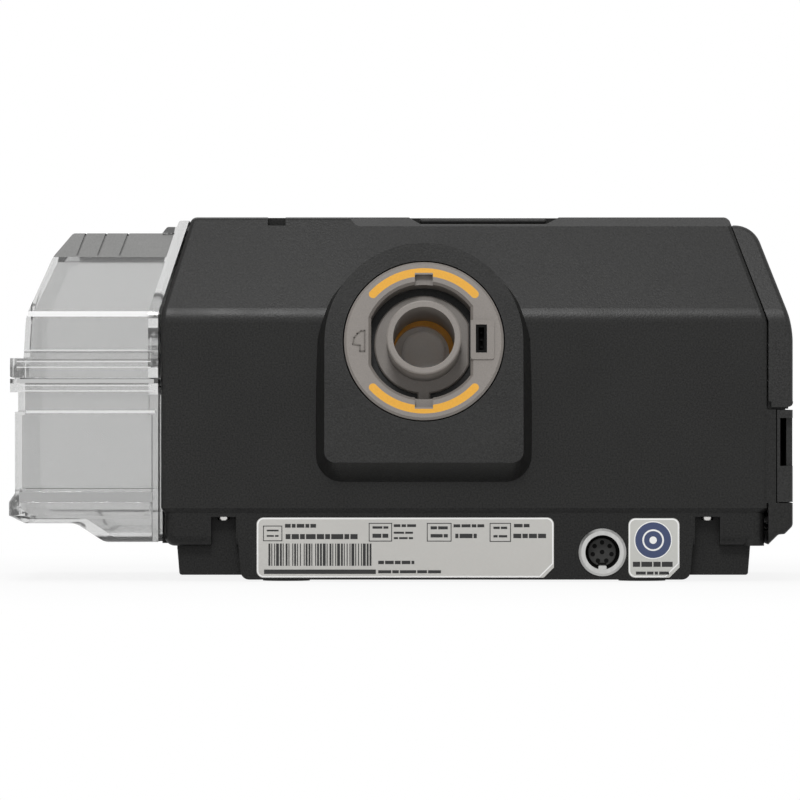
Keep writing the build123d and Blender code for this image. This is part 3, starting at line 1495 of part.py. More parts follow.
def supply_duct():
    """Duct from the blower's nozzle to the supply port."""
    end_x = tub_side_x - wall - 0.1
    stops = ((nozzle_end_x + 0.1, nozzle_z), (nozzle_end_x + duct_run[0], nozzle_z),
             (nozzle_end_x + duct_run[1], port_z), (end_x, port_z))
    points = [(x, supply_port_y, z) for x, z in stops]
    return tube_along(points, nozzle_radius + duct_wall, duct_bend) - tube_along(points, nozzle_radius, duct_bend)


def return_duct():
    """Duct from the return port to the cup behind the outlet."""
    cup_floor = -spigot_depth - 0.2 - seal_thickness - cup_wall
    cup = prism_on(outlet_plane, Circle(cup_radius + cup_wall), cup_floor, -collar_depth - seat_floor - 0.05)
    axis = outlet_plane.z_dir
    end = outlet_plane.offset(cup_floor + 2 * cup_wall).origin
    corner = end - axis * ((end.Y - return_port_y) / axis.Y)
    end_x = tub_side_x - wall - 0.1
    points = [(end_x, return_port_y, port_z), (end_x - return_run, return_port_y, port_z), corner, end]
    duct = cup + tube_along(points, nozzle_radius + duct_wall, duct_bend)
    duct -= prism_on(outlet_plane, Circle(cup_radius), cup_floor + cup_wall, far)
    return duct - tube_along(points, nozzle_radius, duct_bend)


# ---------------------------------------------------------------- write the sub-parts
shell_form = case_shell()
side_outer = fillet(side_edges(side_form(0)), edge_radius)
side_inner = side_form(cover_thickness)

PARTS = {
    "rear_casing": rear_casing,
    "front_casing": front_casing,
    "bottom_casing": bottom_casing,
    "rubber_feet": rubber_feet,
    "case_screws": case_screws,
    "control_deck": control_deck,
    "start_button": start_button,
    "outlet_collar": outlet_collar,
    "outlet_marks": outlet_marks,
    "tube_socket": tube_socket,
    "outlet_connector": outlet_connector,
    "outlet_seal": outlet_seal,
    "inlet_ring": inlet_ring,
    "inlet_core": inlet_core,
    "inlet_contacts": inlet_contacts,
    "rating_label": lambda: label(rating_label_x, rating_label_z, rating_label_x[0]),
    "sign_label": lambda: label(sign_label_x, sign_label_z, sign_label_x[0]),
    "side_frame": side_frame,
    "filter_cover": filter_cover,
    "adapter_cover": adapter_cover,
    "memory_card_door": memory_card_door,
    "memory_card": memory_card,
    "air_filter": air_filter,
    "front_fascia": front_fascia,
    "screen_lens": screen_lens,
    "display_module": display_module,
    "dial_knob": dial_knob,
    "encoder_sleeve": encoder_sleeve,
    "encoder_body": encoder_body,
    "home_button": home_button,
    "main_board": main_board,
    "bay_liner": bay_liner,
    "heater_plate": heater_plate,
    "bay_port_seals": bay_port_seals,
    "tub_shell": tub_shell,
    "tub_chamber": tub_chamber,
    "tub_heat_plate": tub_heat_plate,
    "tub_seal": tub_seal,
    "tub_lid": tub_lid,
    "tub_lid_cap": tub_lid_cap,
    "lid_hinge_pins": lid_hinge_pins,
    "lid_grip": lid_grip,
    "blower_housing": blower_housing,
    "blower_cover": blower_cover,
    "blower_impeller": blower_impeller,
    "blower_motor": blower_motor,
    "inlet_muffler": inlet_muffler,
    "supply_duct": supply_duct,
    "return_duct": return_duct,
}

for part_name, make in PARTS.items():
    save(make(), part_name)
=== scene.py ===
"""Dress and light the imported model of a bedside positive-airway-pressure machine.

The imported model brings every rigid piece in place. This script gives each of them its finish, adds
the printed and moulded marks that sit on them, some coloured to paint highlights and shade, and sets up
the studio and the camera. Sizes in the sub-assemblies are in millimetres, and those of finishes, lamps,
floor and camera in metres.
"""

from __future__ import annotations

import json
import logging
import math
from dataclasses import dataclass, field
from enum import Enum

import bmesh
import bpy
from mathutils import Matrix, Vector

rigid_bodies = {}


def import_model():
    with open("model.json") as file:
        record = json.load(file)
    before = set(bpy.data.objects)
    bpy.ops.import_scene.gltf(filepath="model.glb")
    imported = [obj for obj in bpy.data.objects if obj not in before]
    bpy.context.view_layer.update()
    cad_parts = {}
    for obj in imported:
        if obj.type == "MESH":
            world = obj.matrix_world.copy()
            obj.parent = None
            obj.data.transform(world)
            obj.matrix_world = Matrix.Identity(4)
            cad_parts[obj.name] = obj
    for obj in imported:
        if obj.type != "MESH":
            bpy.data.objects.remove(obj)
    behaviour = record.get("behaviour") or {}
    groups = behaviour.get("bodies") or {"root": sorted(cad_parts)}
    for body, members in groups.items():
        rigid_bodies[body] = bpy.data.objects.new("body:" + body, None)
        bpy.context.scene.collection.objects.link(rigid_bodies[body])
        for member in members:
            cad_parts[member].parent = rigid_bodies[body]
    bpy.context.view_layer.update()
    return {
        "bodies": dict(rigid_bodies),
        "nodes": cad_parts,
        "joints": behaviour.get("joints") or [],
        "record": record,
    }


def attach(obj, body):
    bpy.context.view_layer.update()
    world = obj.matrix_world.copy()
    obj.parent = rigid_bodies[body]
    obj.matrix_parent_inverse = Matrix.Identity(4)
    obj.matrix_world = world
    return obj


LOG = logging.getLogger("machine")
MM = 0.001

Colour = tuple[float, float, float]
Point = tuple[float, float, float]
Pair = tuple[float, float]
Span = tuple[float, float, float, float]

PATTERN_RANGE: Pair = (0.3, 0.7)  # the values that most of a noise pattern takes
PATTERN_ROUGHNESS = 0.55
MIX_COLOURS = (6, 7)  # the Mix node's colour sockets
MIX_RESULT = 2
WHITE = (1.0, 1.0, 1.0, 1.0)


class Body(Enum):
    """The rigid bodies that new pieces ride on."""

    CASING = "casing"
    TUB = "tub"
    LID = "lid"


class Rounding(Enum):
    """What a rounding works on."""

    EDGES = "EDGES"
    CORNERS = "VERTICES"


# ---------------------------------------------------------------- finishes
def shade(colour: Colour, factor: float) -> Colour:
    """A colour made lighter or darker by a factor."""
    return tuple(min(1.0, channel * factor) for channel in colour)


class NodeSheet:
    """A material's node tree with short calls to add and link nodes."""

    def __init__(self, name: str) -> None:
        """Start a material with its shader.

        Args:
            name: The material's name.
        """
        self.material = bpy.data.materials.new(name)
        self.material.use_nodes = True
        self.tree = self.material.node_tree
        self.tree.nodes.clear()
        self.shader = self.add("ShaderNodeBsdfPrincipled")
        self.link(self.shader, "BSDF", self.add("ShaderNodeOutputMaterial"), "Surface")
        self.place = self.add("ShaderNodeTexCoord")

    def add(self, kind: str, **values: object) -> bpy.types.Node:
        """Add a node and set its sockets or attributes.

        Args:
            kind: The node's type name.
            values: Attribute names, or socket names with blanks as underscores.

        Returns:
            The new node.
        """
        node = self.tree.nodes.new(kind)
        for key, value in values.items():
            socket = node.inputs.get(key.replace("_", " "))
            if socket is None:
                setattr(node, key, value)
            else:
                socket.default_value = value
        return node

    def link(
        self, source: bpy.types.Node, output: str | int, target: bpy.types.Node, socket: str | int
    ) -> None:
        """Link one node's output to another node's socket."""
        self.tree.links.new(source.outputs[output], target.inputs[socket])

    def set(self, **values: object) -> None:
        """Set constants on the shader's own sockets."""
        for key, value in values.items():
            self.shader.inputs[key.replace("_", " ")].default_value = value

    def noise(self, size: float, detail: float, stretch: Point = (1.0, 1.0, 1.0)) -> bpy.types.Node:
        """Add a noise pattern in object space.

        Args:
            size: The size of a grain, in metres.
            detail: How many finer layers it has.
            stretch: Scale of the pattern along each axis.

        Returns:
            The noise node.
        """
        mapping = self.add("ShaderNodeMapping", Scale=stretch)
        self.link(self.place, "Object", mapping, "Vector")
        noise = self.add("ShaderNodeTexNoise", Scale=1.0 / size, Detail=detail, Roughness=PATTERN_ROUGHNESS)
        self.link(mapping, "Vector", noise, "Vector")
        return noise

    def ramp(
        self, source: bpy.types.Node, output: str, span: Pair, onto: Pair = (0.0, 1.0)
    ) -> bpy.types.Node:
        """Map one range of values onto another.

        Args:
            source: The node with the values.
            output: The name of its output.
            span: The range that they come in.
            onto: The range that they are mapped onto.

        Returns:
            The mapping node, with its output named Result.
        """
        node = self.add(
            "ShaderNodeMapRange", From_Min=span[0], From_Max=span[1], To_Min=onto[0], To_Max=onto[1]
        )
        self.link(source, output, node, "Value")
        return node

    def tint(self, source: bpy.types.Node, output: str, colour: Colour, tones: Pair) -> None:
        """Vary the surface's colour by a pattern.

        Args:
            source: The node with the pattern.
            output: The name of its output.
            colour: The colour.
            tones: The factors that shade it where the pattern is 0 and 1.
        """
        node = self.add("ShaderNodeMix", data_type="RGBA")
        for socket, tone in zip(MIX_COLOURS, tones):
            node.inputs[socket].default_value = (*shade(colour, tone), 1.0)
        self.link(source, output, node, 0)
        self.link(node, MIX_RESULT, self.shader, "Base Color")

    def gloss(self, pattern: bpy.types.Node, roughness: float, spread: Pair) -> None:
        """Vary the surface's roughness by a noise pattern.

        Args:
            pattern: The noise node.
            roughness: The roughness that it varies around.
            spread: How far it strays to either side.
        """
        node = self.ramp(pattern, "Fac", PATTERN_RANGE, (roughness + spread[0], roughness + spread[1]))
        self.link(node, "Result", self.shader, "Roughness")

    def bump(self, pattern: bpy.types.Node, depth: float, strength: float = 1.0) -> None:
        """Raise the surface by a noise pattern.

        Args:
            pattern: The noise node.
            depth: The height of the relief, in metres.
            strength: How strongly it shades.
        """
        node = self.add("ShaderNodeBump", Distance=depth, Strength=strength)
        self.link(pattern, "Fac", node, "Height")
        self.link(node, "Normal", self.shader, "Normal")


@dataclass(frozen=True)
class MouldedPlastic:
    """Opaque moulded plastic with a spark-eroded texture."""

    name: str
    colour: Colour
    roughness: float
    grain: float = 0.0005
    relief: float = 0.00003
    mottling: float = 0.12
    specular: float = 0.5
    clouding: float = 0.05
    cloud_grains: float = 40.0
    uneven_gloss: Pair = (-0.04, 0.05)
    ior: float = 1.5

    def make(self) -> bpy.types.Material:
        """Build the material: fine grain, soft mottling and uneven gloss.

        Returns:
            The material.
        """
        sheet = NodeSheet(self.name)
        grain = sheet.noise(self.grain, detail=3.0)
        cloud = sheet.noise(self.grain * self.cloud_grains, detail=2.0)
        tone = sheet.add("ShaderNodeMath", operation="MULTIPLY_ADD")
        tone.inputs[1].default_value = self.clouding
        sheet.link(cloud, "Fac", tone, 0)
        sheet.link(grain, "Fac", tone, 2)
        low, high = (edge + 0.5 * self.clouding for edge in PATTERN_RANGE)
        spread = sheet.ramp(tone, "Value", (low, high))
        sheet.tint(spread, "Result", self.colour, (1 - self.mottling, 1 + self.mottling))
        sheet.gloss(cloud, self.roughness, self.uneven_gloss)
        sheet.set(Specular_IOR_Level=self.specular, IOR=self.ior)
        sheet.bump(grain, self.relief)
        return sheet.material


@dataclass(frozen=True)
class ClearPlastic:
    """Transparent moulded plastic, slightly hazy, with faint flow lines."""

    name: str
    colour: Colour
    roughness: float
    clarity: float
    flow_size: float = 0.02
    flow_stretch: Point = (1.0, 1.0, 0.35)
    flow_depth: float = 0.0002
    flow_strength: float = 0.15
    tones: Pair = (0.985, 1.0)
    uneven_gloss: Pair = (0.0, 0.04)
    ior: float = 1.46

    def make(self) -> bpy.types.Material:
        """Build the material: transmission with a little haze and waviness.

        Returns:
            The material.
        """
        sheet = NodeSheet(self.name)
        flow = sheet.noise(self.flow_size, detail=1.0, stretch=self.flow_stretch)
        sheet.tint(flow, "Fac", self.colour, self.tones)
        sheet.gloss(flow, self.roughness, self.uneven_gloss)
        sheet.set(Transmission_Weight=self.clarity, IOR=self.ior)
        sheet.bump(flow, self.flow_depth, self.flow_strength)
        return sheet.material


@dataclass(frozen=True)
class PlatedMetal:
    """Metal with a fine brushed or plated surface."""

    name: str
    colour: Colour
    roughness: float
    brushing: Point = (1.0, 1.0, 0.1)
    streak: float = 0.0006
    relief: float = 0.00002
    tones: Pair = (0.86, 1.0)
    uneven_gloss: Pair = (-0.07, 0.08)

    def make(self) -> bpy.types.Material:
        """Build the material: metallic, with fine directional streaks.

        Returns:
            The material.
        """
        sheet = NodeSheet(self.name)
        streaks = sheet.noise(self.streak, detail=3.0, stretch=self.brushing)
        sheet.tint(streaks, "Fac", self.colour, self.tones)
        sheet.gloss(streaks, self.roughness, self.uneven_gloss)
        sheet.set(Metallic=1.0)
        sheet.bump(streaks, self.relief)
        return sheet.material


@dataclass(frozen=True)
class SoftRubber:
    """Moulded rubber or silicone with a dusty sheen."""

    name: str
    colour: Colour
    roughness: float = 0.6
    dust: float = 0.0012
    relief: float = 0.00004
    sheen: float = 0.15
    tones: Pair = (0.85, 1.1)
    uneven_gloss: Pair = (-0.05, 0.08)
    ior: float = 1.42

    def make(self) -> bpy.types.Material:
        """Build the material: soft sheen over a fine texture.

        Returns:
            The material.
        """
        sheet = NodeSheet(self.name)
        dust = sheet.noise(self.dust, detail=3.0)
        sheet.tint(dust, "Fac", self.colour, self.tones)
        sheet.gloss(dust, self.roughness, self.uneven_gloss)
        sheet.set(Sheen_Weight=self.sheen, IOR=self.ior)
        sheet.bump(dust, self.relief)
        return sheet.material


@dataclass(frozen=True)
class PrintedFilm:
    """Film of a label, or the ink printed on it."""

    name: str
    colour: Colour
    roughness: float
    peel: float = 0.0009
    relief: float = 0.00001
    tones: Pair = (0.97, 1.02)
    uneven_gloss: Pair = (-0.03, 0.04)

    def make(self) -> bpy.types.Material:
        """Build the material: an even film with a faint orange-peel surface.

        Returns:
            The material.
        """
        sheet = NodeSheet(self.name)
        peel = sheet.noise(self.peel, detail=2.0)
        sheet.tint(peel, "Fac", self.colour, self.tones)
        sheet.gloss(peel, self.roughness, self.uneven_gloss)
        sheet.bump(peel, self.relief)
        return sheet.material


@dataclass(frozen=True)
class FibrePad:
    """Filter paper or foam."""

    name: str
    colour: Colour
    pore: float = 0.0008
    relief: float = 0.0003
    roughness: float = 0.95
    sheen: float = 0.3
    tones: Pair = (0.6, 1.05)

    def make(self) -> bpy.types.Material:
        """Build the material: rough fibres with dark pores.

        Returns:
            The material.
        """
        sheet = NodeSheet(self.name)
        pores = sheet.noise(self.pore, detail=4.0)
        sheet.tint(pores, "Fac", self.colour, self.tones)
        sheet.set(Roughness=self.roughness, Sheen_Weight=self.sheen)
        sheet.bump(pores, self.relief)
        return sheet.material


@dataclass(frozen=True)
class Finishes:
    """All finishes of the machine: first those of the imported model's slots, then the scene's own."""

    black_shell: MouldedPlastic = MouldedPlastic(
        "black_shell", (0.0140, 0.0140, 0.0135), 0.33, relief=0.00004, mottling=0.55, specular=0.2
    )
    black_base: MouldedPlastic = MouldedPlastic(
        "black_base", (0.0115, 0.0115, 0.0112), 0.4, relief=0.00004, mottling=0.7, specular=0.18
    )
    black_gloss: MouldedPlastic = MouldedPlastic(
        "black_gloss", (0.010, 0.010, 0.011), 0.14, relief=0.000004, mottling=0.04
    )
    taupe_plastic: MouldedPlastic = MouldedPlastic(
        "taupe_plastic", (0.215, 0.195, 0.178), 0.42, grain=0.0004, relief=0.00002, mottling=0.07,
        specular=0.4,
    )
    orange_inlay: MouldedPlastic = MouldedPlastic(
        "orange_inlay", (0.74, 0.37, 0.035), 0.48, relief=0.00001, mottling=0.05, specular=0.35
    )
    grey_plastic: MouldedPlastic = MouldedPlastic(
        "grey_plastic", (0.2, 0.2, 0.196), 0.5, mottling=0.08, specular=0.4
    )
    screen_glass: MouldedPlastic = MouldedPlastic(
        "screen_glass", (0.006, 0.007, 0.009), 0.05, relief=0.000001, mottling=0.05, specular=0.4
    )
    display_black: MouldedPlastic = MouldedPlastic(
        "display_black", (0.008, 0.01, 0.014), 0.2, relief=0.000002, mottling=0.1
    )
    duct_plastic: MouldedPlastic = MouldedPlastic("duct_plastic", (0.62, 0.63, 0.61), 0.5, mottling=0.04)
    board_green: MouldedPlastic = MouldedPlastic("board_green", (0.03, 0.16, 0.07), 0.35)
    card_blue: MouldedPlastic = MouldedPlastic("card_blue", (0.04, 0.08, 0.2), 0.35)
    orange_rubber: SoftRubber = SoftRubber("orange_rubber", (0.78, 0.34, 0.025), 0.45)
    black_rubber: SoftRubber = SoftRubber("black_rubber", (0.016, 0.016, 0.016))
    clear_plastic: ClearPlastic = ClearPlastic("clear_plastic", (0.73, 0.732, 0.728), 0.03, 0.9)
    clear_seal: ClearPlastic = ClearPlastic("clear_seal", (0.82, 0.825, 0.82), 0.2, 1.0)
    steel: PlatedMetal = PlatedMetal("steel", (0.7, 0.69, 0.67), 0.25)
    inlet_metal: PlatedMetal = PlatedMetal("inlet_metal", (0.52, 0.52, 0.51), 0.36)
    contact_metal: PlatedMetal = PlatedMetal("contact_metal", (0.09, 0.08, 0.07), 0.55)
    aluminium_plate: PlatedMetal = PlatedMetal(
        "aluminium_plate", (0.72, 0.72, 0.73), 0.35, brushing=(0.1, 1.0, 1.0)
    )
    label_silver: PrintedFilm = PrintedFilm("label_silver", (0.53, 0.52, 0.495), 0.42)
    label_white: PrintedFilm = PrintedFilm("label_white", (0.54, 0.54, 0.51), 0.42)
    foam: FibrePad = FibrePad("foam", (0.12, 0.12, 0.13))
    filter_white: FibrePad = FibrePad("filter_white", (0.82, 0.83, 0.84), pore=0.0005)

    # Lighter copy of the shell's black for the side covers: painted light falling on that side.
    black_cover: MouldedPlastic = MouldedPlastic(
        "black_cover", (0.0200, 0.0200, 0.0195), 0.33, relief=0.00004, mottling=0.55, specular=0.24
    )
    core_plastic: MouldedPlastic = MouldedPlastic(
        "core_plastic", (0.034, 0.034, 0.033), 0.5, relief=0.00002, mottling=0.15, specular=0.3
    )
    # Near-black that paints the shade in deep holes, slots and gaps.
    hole_black: MouldedPlastic = MouldedPlastic(
        "hole_black", (0.003, 0.003, 0.003), 0.7, relief=0.00001, mottling=0.1, specular=0.1
    )
    wall_plastic: MouldedPlastic = MouldedPlastic(
        "wall_plastic", (0.9, 0.9, 0.88), 0.5, relief=0.00001, mottling=0.03, specular=0.3
    )
    # Darker taupe for the collar's raised mark: painted shade on its edges.
    taupe_shade: MouldedPlastic = MouldedPlastic(
        "taupe_shade", (0.125, 0.112, 0.1), 0.5, relief=0.00001, mottling=0.06, specular=0.3
    )
    # Strips on the tub's rear wall: their colours paint highlights on line edges and the lid's bend, shade
    # lines and light over the seam; the frost strip is a frosted face.
    rib_crest: ClearPlastic = ClearPlastic("rib_crest", (0.99, 0.99, 0.99), 0.3, 0.1)
    rib_light: ClearPlastic = ClearPlastic("rib_light", (0.93, 0.93, 0.93), 0.3, 0.25)
    rib_middle: ClearPlastic = ClearPlastic("rib_middle", (0.58, 0.582, 0.578), 0.35, 0.15)
    rib_shade: ClearPlastic = ClearPlastic("rib_shade", (0.27, 0.27, 0.268), 0.3, 0.3)
    rib_frost: ClearPlastic = ClearPlastic("rib_frost", (0.43, 0.432, 0.43), 0.55, 0.25)
    dark_ink: PrintedFilm = PrintedFilm("dark_ink", (0.004, 0.004, 0.004), 0.5)
    blue_ink: PrintedFilm = PrintedFilm("blue_ink", (0.032, 0.05, 0.125), 0.45)
    # Pale print ink, also the painted highlight along the labels' edges.
    pale_ink: PrintedFilm = PrintedFilm("pale_ink", (0.86, 0.86, 0.85), 0.4)


class Workshop:
    """Makes each finish once, when it is first asked for."""

    def __init__(self, finishes: Finishes) -> None:
        """Start with no material made.

        Args:
            finishes: The finishes to choose from.
        """
        self.finishes = finishes
        self.made: dict[str, bpy.types.Material] = {}

    def material(self, name: str) -> bpy.types.Material:
        """The material of a finish.

        Args:
            name: The finish's name.

        Returns:
            The material.
        """
        if name not in self.made:
            self.made[name] = getattr(self.finishes, name).make()
        return self.made[name]


# ---------------------------------------------------------------- new pieces
def piece_from(
    sketch: bmesh.types.BMesh, name: str, material: bpy.types.Material, body: Body, smooth: bool = False
) -> bpy.types.Object:
    """Turn a bmesh into a piece that rides on a body.

    Args:
        sketch: The bmesh, in metres, in the machine's frame. It is freed.
        name: The piece's name.
        material: Its material.
        body: The body it moves with.
        smooth: Whether its faces shade smoothly.

    Returns:
        The new object.
    """
    bmesh.ops.recalc_face_normals(sketch, faces=sketch.faces)
    mesh = bpy.data.meshes.new(name)
    sketch.to_mesh(mesh)
    sketch.free()
    mesh.materials.append(material)
    if smooth:
        mesh.shade_smooth()
    piece = bpy.data.objects.new(name, mesh)
    bpy.context.scene.collection.objects.link(piece)
    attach(piece, body.value)
    LOG.info("%s: %d faces", name, len(mesh.polygons))
    return piece


def add_box(sketch: bmesh.types.BMesh, frame: Matrix, at: Span, depth: Pair) -> None:
    """Add one flat box to a sketch.

    Args:
        sketch: The bmesh.
        frame: The frame that the box is drawn in, in metres.
        at: Left, right, low and high side, in millimetres.
        depth: The box's back and front, in millimetres.
    """
    left, right, low, high = at
    middle = Vector((left + right, low + high, depth[0] + depth[1])) * MM / 2
    size = Vector((right - left, high - low, depth[1] - depth[0])) * MM
    place = frame @ Matrix.Translation(middle) @ Matrix.Diagonal((*size, 1.0))
    bmesh.ops.create_cube(sketch, size=1.0, matrix=place)


def add_disc(
    sketch: bmesh.types.BMesh, frame: Matrix, radius: float, height: float, segments: int
) -> list[bmesh.types.BMFace]:
    """Add a flat disc to a sketch.

    Args:
        sketch: The bmesh.
        frame: The frame that the disc is drawn in, in metres.
        radius: Its radius, in millimetres.
        height: Its height along the frame's Z, in millimetres.
        segments: How many sides the circle has.

    Returns:
        The disc's faces.
    """
    base = frame @ Matrix.Translation((0.0, 0.0, height * MM))
    made = bmesh.ops.create_circle(sketch, cap_ends=True, segments=segments, radius=radius * MM, matrix=base)
    return list({face for corner in made["verts"] for face in corner.link_faces})


def inset(
    sketch: bmesh.types.BMesh, faces: list[bmesh.types.BMFace], width: float, depth: float = 0.0
) -> list[bmesh.types.BMFace]:
    """Draw the edge of flat faces inwards.

    Args:
        sketch: The bmesh.
        faces: The faces.
        width: How far the edge moves in, in millimetres.
        depth: How far the middle sinks, in millimetres.

    Returns:
        The faces of the border that is left.
    """
    made = bmesh.ops.inset_region(
        sketch, faces=faces, thickness=width * MM, depth=-depth * MM, use_boundary=True, use_even_offset=True
    )
    return made["faces"]


def lift(sketch: bmesh.types.BMesh, frame: Matrix, made: dict[str, list], height: float) -> None:
    """Move along a frame's Z what an operator has made.

    Args:
        sketch: The bmesh.
        frame: The frame.
        made: The operator's result.
        height: How far it moves, in millimetres.
    """
    points = [item for item in made["geom"] if isinstance(item, bmesh.types.BMVert)]
    bmesh.ops.translate(sketch, verts=points, vec=frame.to_3x3() @ Vector((0.0, 0.0, height * MM)))


def round_off(
    sketch: bmesh.types.BMesh, geom: list, radius: float, steps: int, kind: Rounding = Rounding.EDGES
) -> None:
    """Round edges or corners.

    Args:
        sketch: The bmesh.
        geom: The edges or corners.
        radius: The radius, in millimetres.
        steps: How many faces the rounding has.
        kind: Whether they are edges or corners.
    """
    bmesh.ops.bevel(
        sketch, geom=geom, offset=radius * MM, segments=steps, affect=kind.value, profile=0.5, material=-1
    )


def add_ring(sketch: bmesh.types.BMesh, frame: Matrix, radii: Pair, depth: Pair, segments: int = 72) -> None:
    """Add a flat ring, or a disc where its inner radius is 0.

    Args:
        sketch: The bmesh.
        frame: The frame that the ring is drawn in, in metres.
        radii: Outer and inner radius, in millimetres.
        depth: The ring's back and front, in millimetres.
        segments: How many sides the circle has.
    """
    outer, inner = radii
    faces = add_disc(sketch, frame, outer, depth[0], segments)
    if inner > 0.0:
        border = inset(sketch, faces, outer - inner)
        bmesh.ops.delete(sketch, geom=faces, context="FACES_ONLY")
        faces = border
    lift(sketch, frame, bmesh.ops.extrude_face_region(sketch, geom=faces), depth[1] - depth[0])


def rear_frame(x: float, y: float, z: float, tilt: float = 0.0) -> Matrix:
    """A frame on the machine's rear: X to the right seen from behind, Y up, Z out.

    Args:
        x: The origin's X, in millimetres.
        y: Its Y.
        z: Its Z.
        tilt: How far Z leans upwards, in degrees.

    Returns:
        The matrix, in metres.
    """
    across = Vector((-1.0, 0.0, 0.0))
    out = Vector((0.0, math.cos(math.radians(tilt)), math.sin(math.radians(tilt))))
    turn = Matrix((across, out.cross(across), out)).transposed().to_4x4()
    return Matrix.Translation(Vector((x, y, z)) * MM) @ turn


# ---------------------------------------------------------------- sub-assemblies
@dataclass
class SubAssembly:
    """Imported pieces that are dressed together, with the pieces that the scene adds to them.

    Attributes:
        pieces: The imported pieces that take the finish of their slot.
        refinished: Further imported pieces, each with the finish that it takes instead.
    """

    pieces: tuple[str, ...] = ()
    refinished: tuple[tuple[str, str], ...] = ()

    def dress(self, frame: dict, shop: Workshop) -> int:
        """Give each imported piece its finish.

        Args:
            frame: The loaded frame.
            shop: The store of materials.

        Returns:
            The number of pieces dressed.
        """
        slots = {entry["node"]: entry["material_slot"] for entry in frame["record"]["subparts"]}
        choices = [(piece, slots[piece]) for piece in self.pieces] + list(self.refinished)
        for piece, finish in choices:
            mesh = frame["nodes"][piece].data
            mesh.materials.clear()
            mesh.materials.append(shop.material(finish))
            LOG.info("%s: %s", piece, finish)
        return len(choices)

    def build(self, shop: Workshop) -> None:
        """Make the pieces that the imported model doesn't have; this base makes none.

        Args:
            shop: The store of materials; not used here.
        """


@dataclass
class Casing(SubAssembly):
    """Outer shells, control deck, feet and screws."""

    pieces: tuple[str, ...] = (
        "rear_casing", "front_casing", "bottom_casing", "rubber_feet", "case_screws", "control_deck",
        "start_button",
    )


@dataclass
class CoveredSide(SubAssembly):
    """The side away from the tub: frame, covers, filter and memory card."""

    pieces: tuple[str, ...] = ("side_frame", "memory_card_door", "memory_card", "air_filter")
    refinished: tuple[tuple[str, str], ...] = (
        # The covers take the lighter black, which paints the light on that side.
        ("filter_cover", "black_cover"),
        ("adapter_cover", "black_cover"),
    )


@dataclass
class ControlFront(SubAssembly):
    """Fascia, screen, dial and home button with the board behind them."""

    pieces: tuple[str, ...] = (
        "front_fascia", "screen_lens", "display_module", "dial_knob", "encoder_sleeve", "encoder_body",
        "home_button", "main_board",
    )


@dataclass
class TubBay(SubAssembly):
    """Bay that the tub docks in, with its heater and port seals."""

    pieces: tuple[str, ...] = ("bay_liner", "heater_plate", "bay_port_seals")


@dataclass
class AirPath(SubAssembly):
    """Blower, motor, muffler and ducts inside the casing."""

    pieces: tuple[str, ...] = (
        "blower_housing", "blower_cover", "blower_impeller", "blower_motor", "inlet_muffler", "supply_duct",
        "return_duct",
    )


@dataclass(frozen=True)
class WallRib:
    """A fine strip across the rear wall of the tub or its lid, coloured to paint light and shade: the lit or
    shaded edge of a moulded line, the highlight along the lid's bend, or the light over the seam.

    Attributes:
        z: The height of its middle.
        height: How wide the line is.
        finish: The name of its finish.
        body: The body that it rides on.
        face_y: Where the wall's rear face is.
        left: How far its left end is from the machine's middle, seen from behind.
        right: How far its right end is from there.
    """

    z: float
    height: float
    finish: str
    body: Body
    face_y: float
    left: float
    right: float


@dataclass
class WaterTub(SubAssembly):
    """Clear tub with its lid, hinge, seal and heat plate, and fine strips on its rear wall that paint
    highlights and shade.
    """

    pieces: tuple[str, ...] = (
        "tub_shell", "tub_chamber", "tub_heat_plate", "tub_seal", "tub_lid", "tub_lid_cap", "lid_hinge_pins",
        "lid_grip",
    )
    rib_proud: float = 0.08
    rib_sink: float = 0.3
    # The strips' colours are painted highlights, painted shade and painted light over the seam.
    ribs: tuple[WallRib, ...] = (
        WallRib(79.3, 1.6, "rib_crest", Body.LID, 60.3, 110.4, 73.0),
        WallRib(68.5, 0.4, "rib_light", Body.LID, 60.4, 111.4, 73.0),
        WallRib(68.0, 0.25, "rib_shade", Body.LID, 60.4, 111.4, 73.0),
        WallRib(65.7, 0.25, "rib_shade", Body.LID, 61.8, 113.6, 74.0),
        WallRib(65.2, 0.3, "rib_light", Body.LID, 61.8, 113.6, 74.0),
        WallRib(63.5, 0.3, "rib_light", Body.LID, 61.8, 113.6, 74.0),
        WallRib(59.4, 1.2, "rib_middle", Body.TUB, 61.8, 113.6, 73.0),
        WallRib(58.1, 0.3, "rib_light", Body.TUB, 61.8, 113.6, 74.0),
        WallRib(56.5, 0.35, "rib_light", Body.TUB, 61.8, 113.6, 73.0),
        WallRib(50.3, 0.8, "rib_light", Body.TUB, 60.4, 111.0, 72.8),
        WallRib(27.6, 0.25, "rib_shade", Body.TUB, 60.4, 111.0, 73.0),
    )
    lip_place: Pair = (60.9, 25.05)
    lip_tilt: float = 17.9
    lip_frost: Span = (-113.0, -73.5, -1.55, 1.55)
    lip_skin: Pair = (-0.05, 0.1)

    def build(self, shop: Workshop) -> None:
        """Make the strips of painted highlight and shade, one piece for each finish and body, and the lip's
        frosted face.

        Args:
            shop: The store of materials.
        """
        for finish, body in sorted({(rib.finish, rib.body) for rib in self.ribs}, key=str):
            sketch = bmesh.new()
            for rib in self.ribs:
                if (rib.finish, rib.body) == (finish, body):
                    spot = (-rib.left, -rib.right, rib.z - rib.height / 2, rib.z + rib.height / 2)
                    face = rear_frame(0.0, rib.face_y, 0.0)
                    add_box(sketch, face, spot, (-self.rib_sink, self.rib_proud))
            piece_from(sketch, f"{body.value}_{finish}", shop.material(finish), body)
        sketch = bmesh.new()
        frame = rear_frame(0.0, *self.lip_place, self.lip_tilt)
        add_box(sketch, frame, self.lip_frost, self.lip_skin)
        piece_from(sketch, "lip_frost", shop.material("rib_frost"), Body.TUB)


